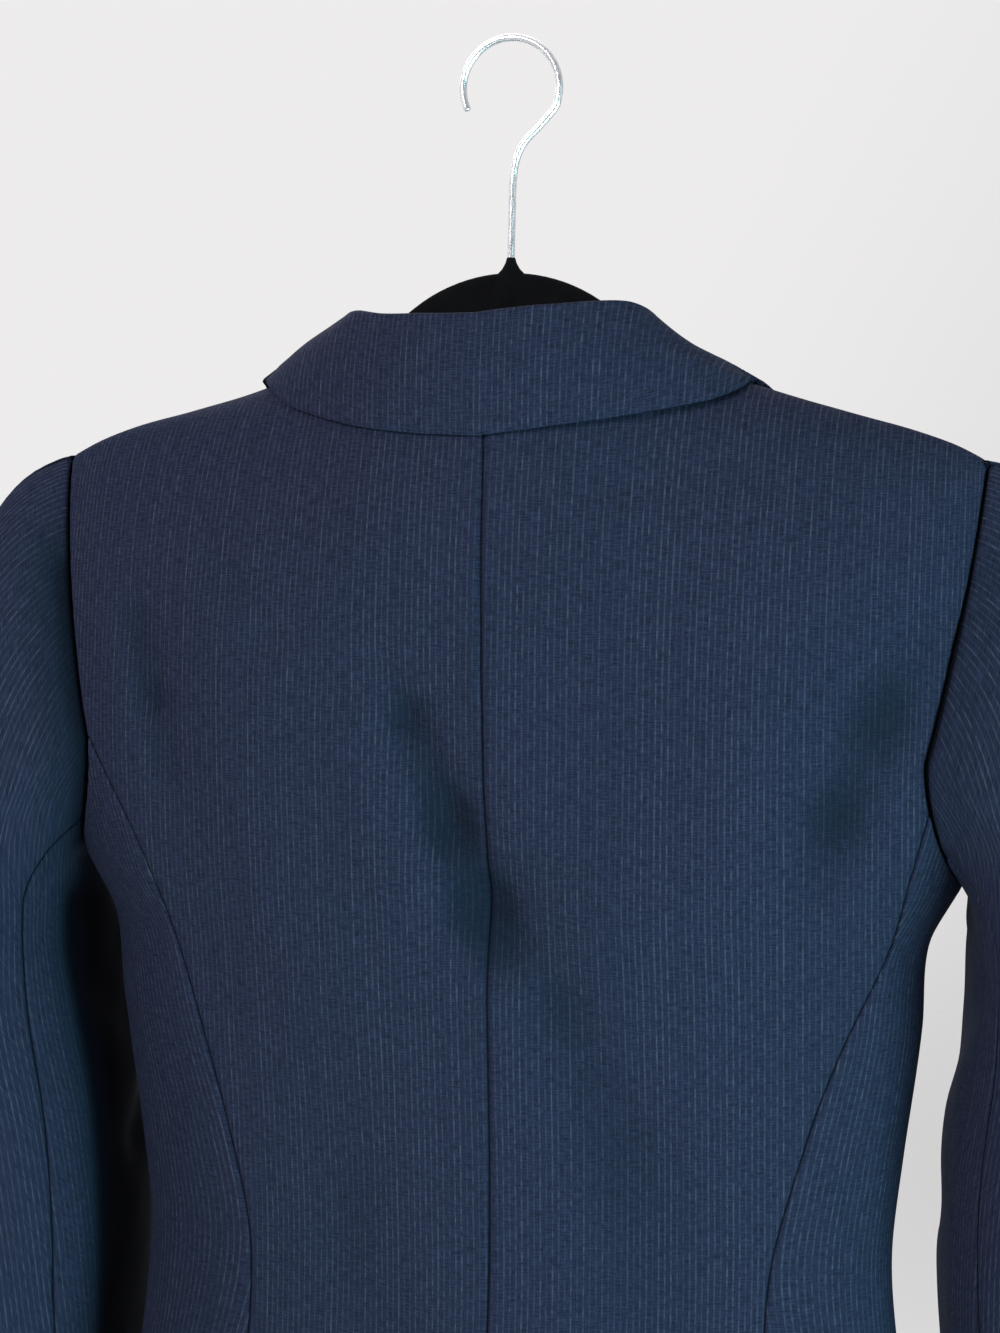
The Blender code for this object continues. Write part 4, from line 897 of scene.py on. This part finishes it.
# ---------------------------------------------------------------------------
# Collar: a stand round the neck and a fall folded down over it, topstitched a
# presser foot's width inside its edge.
COLLAR_TURNS = (0.0, 0.25, 0.5, 0.75, 1.0, 1.19, 1.375)
COLLAR_FOLD = mm(
    (0, 23.5, 44.5, 60.5, 69, 69.5, 65),
    (57.5, 54.8, 44, 27.5, 4, -22.5, -53.5),
    (-121.4, -121.2, -120.6, -119, -122.2, -136.5, -160),
)
COLLAR_EDGE_X = mm(0, 29, 61, 92, 113, 118.5, 117)
COLLAR_EDGE_Z = mm(-170.5, -169.5, -166, -158.8, -149.7, -161, -178.5)
COLLAR_END = COLLAR_TURNS[-1]
COLLAR_WALL = 0.0020
COLLAR_CLOTH = 0.0017
COLLAR_LIE = 0.0024
COLLAR_LIE_TURNS = (0.90, 1.08)
FOLD_RISE = 0.0026
FALL_SWELL = 0.0022
GORGE_SHARE = 0.6
GORGE_GAP = 0.0006
COLLAR_END_SHARE = 0.85
STAND_GAP = 0.0006
OUTWARD_SIDE_SHARE = 0.55
STAND_ROWS, FOLD_ROWS, FALL_ROWS = 12, 10, 34
COLLAR_RISE = 0.0040
COLLAR_LEAN = 0.0026
RIGHT_X = -0.05
RIGHT_SAG, SAG_FROM_X, SAG_OVER = 0.0082, -0.058, 0.030
SAG_FLOOR = 0.0042
DRAWN_IN, DRAWN_Y, DRAWN_REACH = 0.0068, -0.004, 0.018
TOPSTITCH_IN = 0.0084
STITCH_SINK, STITCH_SINK_WIDTH = 0.00022, 0.0011

fold_lines = [through(COLLAR_TURNS, column) for column in COLLAR_FOLD]
edge_x_line = through(COLLAR_TURNS, COLLAR_EDGE_X)
edge_z_line = through(COLLAR_TURNS, COLLAR_EDGE_Z)


def fold_at(turn):
    """Places along the collar's fold."""
    return np.stack([line(np.clip(turn, 0.0, COLLAR_END)) for line in fold_lines], axis=-1)


def kept_out(point, lift, where):
    """Points moved off the cloth below them, wherever they lie under the shoulder line."""
    face = np.where(point[..., 1] >= 0, 1, -1)
    low_z = np.minimum(point[..., 2], ridge(point[..., 0]) - 0.0002)
    cloth_y = on_body(point[..., 0], low_z, face, lift)[0][..., 1]
    clear_y = face * np.maximum(face * point[..., 1], face * cloth_y)
    point[..., 1] = np.where(where, clear_y, point[..., 1])


def collar_half(turn):
    """Outer points of the left half: columns run with the turn, rows up, over and down."""
    front_share = np.maximum(turn - 1.0, 0.0) / (COLLAR_END - 1.0)
    fold = fold_at(turn)
    run = unit(fold_at(turn + 0.02) - fold_at(turn - 0.02))
    level_out = unit(fold * (OUTWARD_SIDE_SHARE, 1.0, 0.0))
    lie = soft_step((turn - COLLAR_LIE_TURNS[0]) / (COLLAR_LIE_TURNS[1] - COLLAR_LIE_TURNS[0]))
    lift = LAY_GAP + COLLAR_WALL + COLLAR_LIE * lie
    edge_x = edge_x_line(turn)
    edge_z = np.minimum(edge_z_line(turn), ridge(edge_x) - 0.0001)
    edge = on_body(edge_x, edge_z, np.where(turn > 1.0, -1, 1), lift)[0]
    x, z = [mix(start, end, COLLAR_END_SHARE * front_share)
            for start, end in zip((NECK_HALF_WIDTH, ridge(NECK_HALF_WIDTH)), LAPEL_TOP)]
    back_seam = bare_surface(1, *neck_place(math.pi / 2 * np.minimum(turn, 1.0)), 1)
    seam = np.where((turn <= 1.0)[:, None], back_seam, bare_surface(1, turn_at(x, z), z, -1))
    seam = seam + np.array((0.0, 0.0, STAND_GAP)) - level_out * COLLAR_WALL
    up = unit(fold - seam) + unit(fold - edge)
    up = unit(up - run * np.sum(up * run, axis=-1, keepdims=True))
    out = np.cross(up, run)
    out *= np.sign(np.sum(out * level_out, axis=-1, keepdims=True))

    lines = [mix(seam, fold - out * FOLD_RISE, k / STAND_ROWS) for k in range(STAND_ROWS)]
    for arc in np.linspace(0.0, math.pi, FOLD_ROWS + 1):
        lines.append(fold - out * FOLD_RISE * math.cos(arc) + up * FOLD_RISE * math.sin(arc))
    start = lines[-1]
    corner = on_body(np.full_like(turn, GORGE_CORNER[0]), np.full_like(turn, GORGE_CORNER[1] + GORGE_GAP),
                     -np.ones_like(turn), lift)[0]
    for f in shares(FALL_ROWS, 0.06)[1:]:
        point = mix(start, edge, f) + (out + up * 0.4) * FALL_SWELL * math.sin(math.pi * f)
        if f <= GORGE_SHARE:
            bent = mix(start, corner, f / GORGE_SHARE)
        else:
            bent = mix(corner, edge, (f - GORGE_SHARE) / (1 - GORGE_SHARE))
        point = mix(point, bent, (soft_step(front_share) ** 2)[:, None])
        kept_out(point, lift, point[:, 2] <= ridge(point[:, 0]) - lift)
        lines.append(point)
    return np.array(lines)


turns = with_marks(np.linspace(0.0, 1.36, 74), 1.0, 1.365, 1.369, 1.3725, COLLAR_END)
half = collar_half(turns)
signed = np.concatenate((-turns[:0:-1], turns))
points = np.concatenate((half[:, :0:-1] * (-1.0, 1.0, 1.0), half), axis=1)
# place in the collar's section: 0 at the seam, 3 to 5 over the fold, 10 at the edge
row = np.concatenate((
    np.arange(STAND_ROWS) / STAND_ROWS * 3.0,
    3.0 + np.arange(FOLD_ROWS + 1) / FOLD_ROWS * 2.0,
    5.0 + 5.0 * shares(FALL_ROWS, 0.06)[1:],
))[:, None]
# the fold leans and rises a little on the wearer's right, as it sits on the hanger
rise = np.where(signed < 0, COLLAR_RISE * np.sin(math.pi * np.minimum(-signed, 1.0)), 0.0)
lean = COLLAR_LEAN * np.minimum((COLLAR_END - np.abs(signed)) * 8.0 / 3.0, 1.0)
points[..., 0] += lean * np.sin(math.pi * row / 10.0)
points[..., 2] += rise * np.minimum(row / 3.0, 1.0)
# over the right shoulder it has sunk, and its front end is drawn in to the neck
x, y, z = np.moveaxis(points, -1, 0)
sag = RIGHT_SAG * soft_step((SAG_FROM_X - x) / SAG_OVER) * np.clip((10.0 - row) / 6.0, 0.0, 1.0)
floor_z = ridge(x) + SAG_FLOOR
z[:] = np.where(z > floor_z, np.maximum(z - sag * np.minimum(row / 2.0, 1.0), floor_z), z)
right = x < RIGHT_X
x += np.where(right, DRAWN_IN * np.exp(-((y - DRAWN_Y) / DRAWN_REACH) ** 2) * np.clip((row - 5.0) / 5.0, 0.0, 1.0), 0.0)
kept_out(points, LAY_GAP + COLLAR_WALL, right & (row > 5.0) & (z <= ridge(x) - 0.003))
normals = skin_normals(points, (len(points) - 12, len(turns) - 1), (0.0, 1.0, 0.0))
normals[0] = unit(normals[0] * (1.0, 1.0, 0.0))
edge_gap = edge_distances(points)[1]
weave = in_cloth(points[..., 0] * 1.04 + 3.0, -edge_gap)
points = finish_cloth(points, normals, ("plain", "fold", "fold", "fold"), weave)
# the stitched channel draws the two layers together
points -= normals * (STITCH_SINK * np.exp(-((edge_gap - TOPSTITCH_IN) / STITCH_SINK_WIDTH) ** 2))[..., None]
cloth_shell("collar", points, normals, weave, no_painted_shade(points), COLLAR_CLOTH)

# ---------------------------------------------------------------------------
# Topstitching: one row of navy thread round the collar, each stitch a short
# raised lens sunk at both ends.
STITCH_LENGTH = 0.0026
STITCH_STEP = 0.0034
THREAD_RADIUS = 0.00019

thread, tree, shader = new_material("navy_thread", (0.026, 0.032, 0.055), 0.75, {"Specular IOR Level": 0.15})
twist = new_node(tree, "TexWave", {"Vector": new_node(tree, "TexCoord").outputs["Object"], "Scale": 900.0,
                                   "Distortion": 1.5}, bands_direction="DIAGONAL")
tree.links.new(blend(tree, twist.outputs[1], (0.016, 0.021, 0.040), (0.036, 0.043, 0.070)),
               shader.inputs["Base Color"])

# places on the cloth and their outward directions, one distance inside the edge
line = np.array([
    [np.interp(TOPSTITCH_IN, edge_gap[::-1, c], table[::-1, c, k]) for table in (points, normals) for k in range(3)]
    for c in range(6, points.shape[1] - 6)])
lengths = np.concatenate(((0.0,), np.cumsum(np.linalg.norm(np.diff(line[:, :3], axis=0), axis=1))))
bm = bmesh.new()
for s in np.arange(STITCH_STEP, lengths[-1] - STITCH_STEP, STITCH_STEP):
    here, behind, ahead = [
        np.array([np.interp(place, lengths, column) for column in line.T]) for place in (s, s - 0.0008, s + 0.0008)]
    run = Vector(ahead[:3] - behind[:3]).normalized()
    aside = Vector(here[3:]).cross(run).normalized()
    turned = Matrix((run, aside, run.cross(aside))).transposed().to_4x4()
    size = Matrix.Diagonal((STITCH_LENGTH / 2, THREAD_RADIUS, THREAD_RADIUS, 1.0))
    bmesh.ops.create_icosphere(bm, subdivisions=1, radius=1.0,
                               matrix=Matrix.Translation(Vector(here[:3])) @ turned @ size)
topstitch = link_mesh("collar_topstitch", bm, thread)
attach(topstitch, "root")

# ---------------------------------------------------------------------------
# Sleeves: a top and an under panel each, sewn down both sides, eased into the
# armhole so that the cap stands over its seam, and open at the cuff.
SLEEVE_Z = mm(-385, -430, -490, -560, -650, -745)
SLEEVE_X = mm(240.5, 236, 228.5, 227.5, 233, 238.5)
SLEEVE_Y = mm(0, -2.5, -6, -12, -21, -31)
SLEEVE_SIDE = mm(34.5, 35, 34.5, 33, 30, 27)
SLEEVE_DEPTH = mm(66, 65.5, 63.5, 60.5, 57, 54)
SLEEVE_TURNED = (0.0, 0.12, 0.16, 0.18, 0.15, 0.12)
CUFF_Z = -0.745
SLEEVE_GAP = 0.0005
SLEEVE_PUSH = 0.972
CAP_OUT = np.array((0.80, 0.0, -0.42))
CAP_NORMAL = 0.30
CAP_SPREAD = 0.15
UNDERARM_DROP = np.array((-0.35, 0.0, -0.45))
ARM_LENGTH = 0.36
ARM_FOLD_RADIUS = 0.050
PANELS = (
    ("top_sleeve_", np.radians((213.75, -45.0)), 78, 0.24, 4.0, (0.265, 0.640), 0.118),
    ("under_sleeve_", np.radians((-45.0, -146.25)), 30, 0.10, 5.0, (0.120, 0.480), 0.038),
)
PAD = 0.02
ARM_FOLDS = (
    (-60.0, -0.400, -110.0, -0.450, 0.0022, 0.012),
    (-20.0, -0.330, 30.0, -0.400, 0.0030, 0.018),
    (200.0, -0.470, 250.0, -0.510, 0.0045, 0.014),
    (160.0, -0.560, 205.0, -0.600, 0.0024, 0.014),
    (20.0, -0.500, -30.0, -0.570, 0.0030, 0.020),
    (60.0, -0.420, 110.0, -0.480, 0.0024, 0.024),
    (-100.0, -0.380, -128.0, -0.412, -0.0042, 0.014),
)
# Round the armhole the stripes fan in as the cap is eased: turns from its top, and shares of the half round
HEAD_CLOCKS = np.radians((0.0, 20.0, 45.0, 68.0, 90.0, 112.0, 135.0, 180.0))
HEAD_SHARES = (0.0, 0.12, 0.30, 0.54, 0.76, 0.87, 0.93, 1.0)
# Seam allowance turned in at the armhole: how far in, and how far down
ALLOWANCE = ((0.0085, 0.0026), (0.0035, 0.0022), (0.0006, 0.0012))
TOP_ALLOWANCE_LOSS = 0.85
# Painted shade on the side of the arm that faces the body, and close beside the back of the armhole
INNER_SHADE = {1: 1.55, -1: 0.5}
INNER_TURN = math.radians(105.0)
INNER_TOP, INNER_TOP_OVER = -0.345, 0.050
BESIDE_SHADE = {1: 1.25, -1: 0.4}
BESIDE_REACH = 0.034
BESIDE_TOP, BESIDE_TOP_OVER = -0.195, 0.040

arm_lines = [through(SLEEVE_Z, column) for column in (SLEEVE_X, SLEEVE_Y, SLEEVE_SIDE, SLEEVE_DEPTH, SLEEVE_TURNED)]


def sleeve_ring(clock, z):
    """Points round the left arm at heights below the armhole."""
    x, y, half_side, half_depth, turned = [line(z) for line in arm_lines]
    out = half_depth * np.cos(clock)
    return np.stack(np.broadcast_arrays(x + half_side * np.sin(clock) + turned * out, y + out, z), axis=-1)


def sleeve_points(clock, cap, arm):
    """Plain form of the left sleeve; columns follow the clock, rows the cap and then the arm."""
    turn, z = armhole_place(clock)
    start, normal = body_point(1, turn, z, np.where(np.cos(clock) >= 0, 1, -1))
    end = sleeve_ring(clock, np.full_like(clock, SLEEVE_Z[0]))
    reach = np.linalg.norm(end - start, axis=-1, keepdims=True) * SLEEVE_PUSH
    push = CAP_OUT + normal * CAP_NORMAL
    push[:, 1] += CAP_SPREAD * np.cos(clock)
    push += (np.minimum(np.sin(clock), 0.0) ** 2)[:, None] * UNDERARM_DROP
    push = unit(push)
    rows = curve_point(start + push * SLEEVE_GAP, push * reach, end, np.array((0.0, 0.0, -1.0)) * reach,
                       cap[:, None, None])
    return np.concatenate((rows, sleeve_ring(clock[None, :], mix(SLEEVE_Z[0], CUFF_Z, arm[1:])[:, None])))


def arm_sink(clock, z):
    """Depth of the soft folds round the arm."""
    sunk = np.zeros_like(z)
    for clock0, z0, clock1, z1, depth, reach in ARM_FOLDS:
        middle = 0.5 * (clock0 + clock1)
        degrees = (np.degrees(clock) - middle + 180.0) % 360.0 - 180.0 + middle
        x, x0, x1 = [ARM_FOLD_RADIUS * np.radians(turned) for turned in (degrees, clock0, clock1)]
        sunk += depth * trough(x, z, x0, z0, x1, z1, reach)
    return sunk


def sleeve_normals(rows, clock):
    """Directions out of the sleeve."""
    place = (90, rows.shape[1] // 2)
    facing = sleeve_ring(clock[place[1]] + math.pi, rows[place][2])
    return skin_normals(rows, place, rows[place] - facing)


cap = shares(30, 0.20)[:-9]
cap = cap / cap[-1]
arm = np.concatenate((np.linspace(0.0, 1.0 - 0.0075 / ARM_LENGTH, 92), 1.0 - EDGE_STEPS[-2::-1] / ARM_LENGTH))
level = np.concatenate((np.full(len(cap), SLEEVE_Z[0]), mix(SLEEVE_Z[0], CUFF_Z, arm[1:])))[:, None]
fade = soft_step(np.concatenate((cap * 7.0 / 3.0, np.ones(len(arm) - 1))))[:, None]
steps = np.radians(np.arange(-170.0, 216.0, 1.0))
rounds = np.hypot(arm_lines[2](level) * np.cos(steps), arm_lines[3](level) * np.sin(steps))
rounds = np.cumsum(rounds, axis=1) * math.radians(1.0)
half_round = 0.5 * (rounds[0, -1] - rounds[0, 0]) * math.tau / (steps[-1] - steps[0])

for side, word in SIDES:
    for kind, clocks, count, width, start, flat, area in PANELS:
        u = np.concatenate(((-2 * PAD, -PAD), shares(count, width), (1 + PAD, 1 + 2 * PAD)))
        clock = mix(*clocks, u)
        rows = sleeve_points(clock, cap, arm)
        normals = sleeve_normals(rows, clock)
        rows = rows - normals * (arm_sink(clock[None, :] + 0.0 * rows[..., 2], rows[..., 2]) * fade)[..., None]
        normals = sleeve_normals(rows, clock)
        rows, normals, clock = rows[:, 2:-2], normals[:, 2:-2], clock[2:-2]

        # down the arm the stripes keep their places, and over the cap they run to the armhole
        top = math.pi / 2
        arc = np.array([np.interp(clock, steps, line) - np.interp(top, steps, line) for line in rounds])
        head = np.sign(clock - top) * half_round * np.interp(np.abs(clock - top), HEAD_CLOCKS, HEAD_SHARES)
        off = np.linalg.norm((rows - rows[len(cap) - 1])[..., :2], axis=-1)
        off = np.where(np.arange(len(rows))[:, None] < len(cap), off / off[0], 0.0)
        weave = in_cloth(mix(arc, head, off) + start, -edge_distances(rows)[0])
        rows = finish_cloth(rows, normals, ("seam", "fold", "seam", "seam"), weave)

        inward = unit(rows[0] - rows[4]) * (1.0 - TOP_ALLOWANCE_LOSS * np.maximum(np.sin(clock), 0.0) ** 8)[:, None]
        inside = [rows[0] + inward * run - normals[0] * drop for run, drop in ALLOWANCE]
        rows = np.concatenate((inside, rows)) * (side, 1.0, 1.0)
        normals = np.concatenate((*[normals[:1]] * len(inside), normals)) * (side, 1.0, 1.0)
        weave = np.concatenate((*[weave[:1]] * len(inside), weave))

        # painted shade on the arm's side toward the body and on the cap beside the back of the armhole
        inner = soft_step((np.cos(clock + INNER_TURN) - 0.62) / 0.30) * INNER_SHADE[side]
        inner = inner * soft_step((INNER_TOP - rows[..., 2]) / INNER_TOP_OVER)
        beside = soft_step(1.0 - np.linalg.norm(rows - rows[len(inside)], axis=-1) / BESIDE_REACH)
        beside *= soft_step((np.cos(clock) - 0.15) / 0.35) * soft_step((BESIDE_TOP - rows[..., 2]) / BESIDE_TOP_OVER)
        shade = np.maximum(inner, beside * BESIDE_SHADE[side])
        cloth_shell(kind + word, rows, normals, weave, shade, CLOTH)

# ---------------------------------------------------------------------------
# Buttons: two dark four-hole buttons on the right front, each held by crossed
# navy thread.
BUTTON_HEIGHT = 0.0034
BUTTON_DISH = 0.0008
BUTTON_SEAT = 0.0009
BUTTON_HOLE = 0.00095
BUTTON_HOLE_OUT = 0.0019
DISH_FLOOR = BUTTON_HEIGHT - 2 * BUTTON_DISH
BUTTON_PROFILE = (
    (0.0, DISH_FLOOR), (0.0056, DISH_FLOOR), (0.0064, DISH_FLOOR + 0.4 * BUTTON_DISH),
    (0.0071, BUTTON_HEIGHT - 0.3 * BUTTON_DISH), (0.0078, BUTTON_HEIGHT), (0.0089, BUTTON_HEIGHT),
    (0.0096, BUTTON_HEIGHT - 0.0003), (0.0100, BUTTON_HEIGHT - BUTTON_DISH), (0.0100, BUTTON_DISH),
    (0.0096, 0.0003), (0.0089, 0.0), (0.0, 0.0),
)
SEWING_RADIUS = 0.00045
SEWING_RISE, SEWING_SINK = 0.0009, 0.0016
BUTTONS = (("button_upper", -0.430), ("button_lower", -0.532))

horn, tree, shader = new_material("dark_horn", (0.012, 0.014, 0.022), 0.32)
streak = noise(tree, new_node(tree, "TexCoord").outputs["Object"], (260.0, 90.0, 500.0), 4.0, Distortion=0.6)
tree.links.new(blend(tree, spread(tree, streak, 0.35, 0.70), (0.006, 0.007, 0.012), (0.030, 0.028, 0.034)),
               shader.inputs["Base Color"])
tree.links.new(spread(tree, streak, 0.3, 0.7, 0.26, 0.42), shader.inputs["Roughness"])

for name, z in BUTTONS:
    seat, up = on_body(np.array(0.0), np.array(z), np.array(-1), BUTTON_SEAT, LAP_LIFT)
    turned = Vector(up).to_track_quat("Z", "Y").to_matrix().to_4x4()
    turned.translation = seat
    bm = bmesh.new()
    verts = [bm.verts.new((radius, 0.0, height)) for radius, height in BUTTON_PROFILE]
    edges = [bm.edges.new(pair) for pair in zip(verts, verts[1:])]
    bmesh.ops.spin(bm, geom=verts + edges, cent=(0, 0, 0), axis=(0, 0, 1), dvec=(0, 0, 0), angle=math.tau,
                   steps=56, use_merge=True, use_duplicate=False)
    bmesh.ops.remove_doubles(bm, verts=bm.verts, dist=0.00001)
    bmesh.ops.recalc_face_normals(bm, faces=bm.faces)
    button = link_mesh("horn_" + name, bm, horn)
    cutters = bmesh.new()
    for x, y, _ in ring((0.0, 0.0, 0.0), (1.0, 1.0, 0.0), (-1.0, 1.0, 0.0), 4) * BUTTON_HOLE_OUT * math.sqrt(0.5):
        bmesh.ops.create_cone(cutters, cap_ends=True, segments=20, radius1=BUTTON_HOLE, radius2=BUTTON_HOLE,
                              depth=3 * BUTTON_HEIGHT, matrix=Matrix.Translation((x, y, BUTTON_HEIGHT / 2)))
    drill = link_mesh("drill", cutters)
    holes = button.modifiers.new("holes", "BOOLEAN")
    holes.operation = "DIFFERENCE"
    holes.solver = "EXACT"
    holes.object = drill
    drilled = bpy.data.meshes.new_from_object(button.evaluated_get(bpy.context.evaluated_depsgraph_get()))
    button.modifiers.clear()
    button.data = drilled
    bpy.data.objects.remove(drill, do_unlink=True)
    drilled.transform(turned)
    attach(button, "root")
    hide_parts(name)

    bm = bmesh.new()
    for a in (math.radians(45.0), math.radians(135.0)):
        rings = []
        for f in np.linspace(0.0, 1.0, 15):
            reach, bow = BUTTON_HOLE_OUT * math.cos(math.pi * f), math.sin(math.pi * f)
            top = DISH_FLOOR + SEWING_RISE * bow ** 0.5 - SEWING_SINK * (1 - bow) ** 3
            aside = np.array((-math.sin(a), math.cos(a), 0.0))
            rings.append(ring((reach * math.cos(a), reach * math.sin(a), top), SEWING_RADIUS * aside,
                              (0.0, 0.0, 0.8 * SEWING_RADIUS), 10))
        tube(bm, rings)
    bmesh.ops.transform(bm, matrix=turned, verts=bm.verts)
    sewing = link_mesh("thread_" + name, bm, thread)
    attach(sewing, "root")
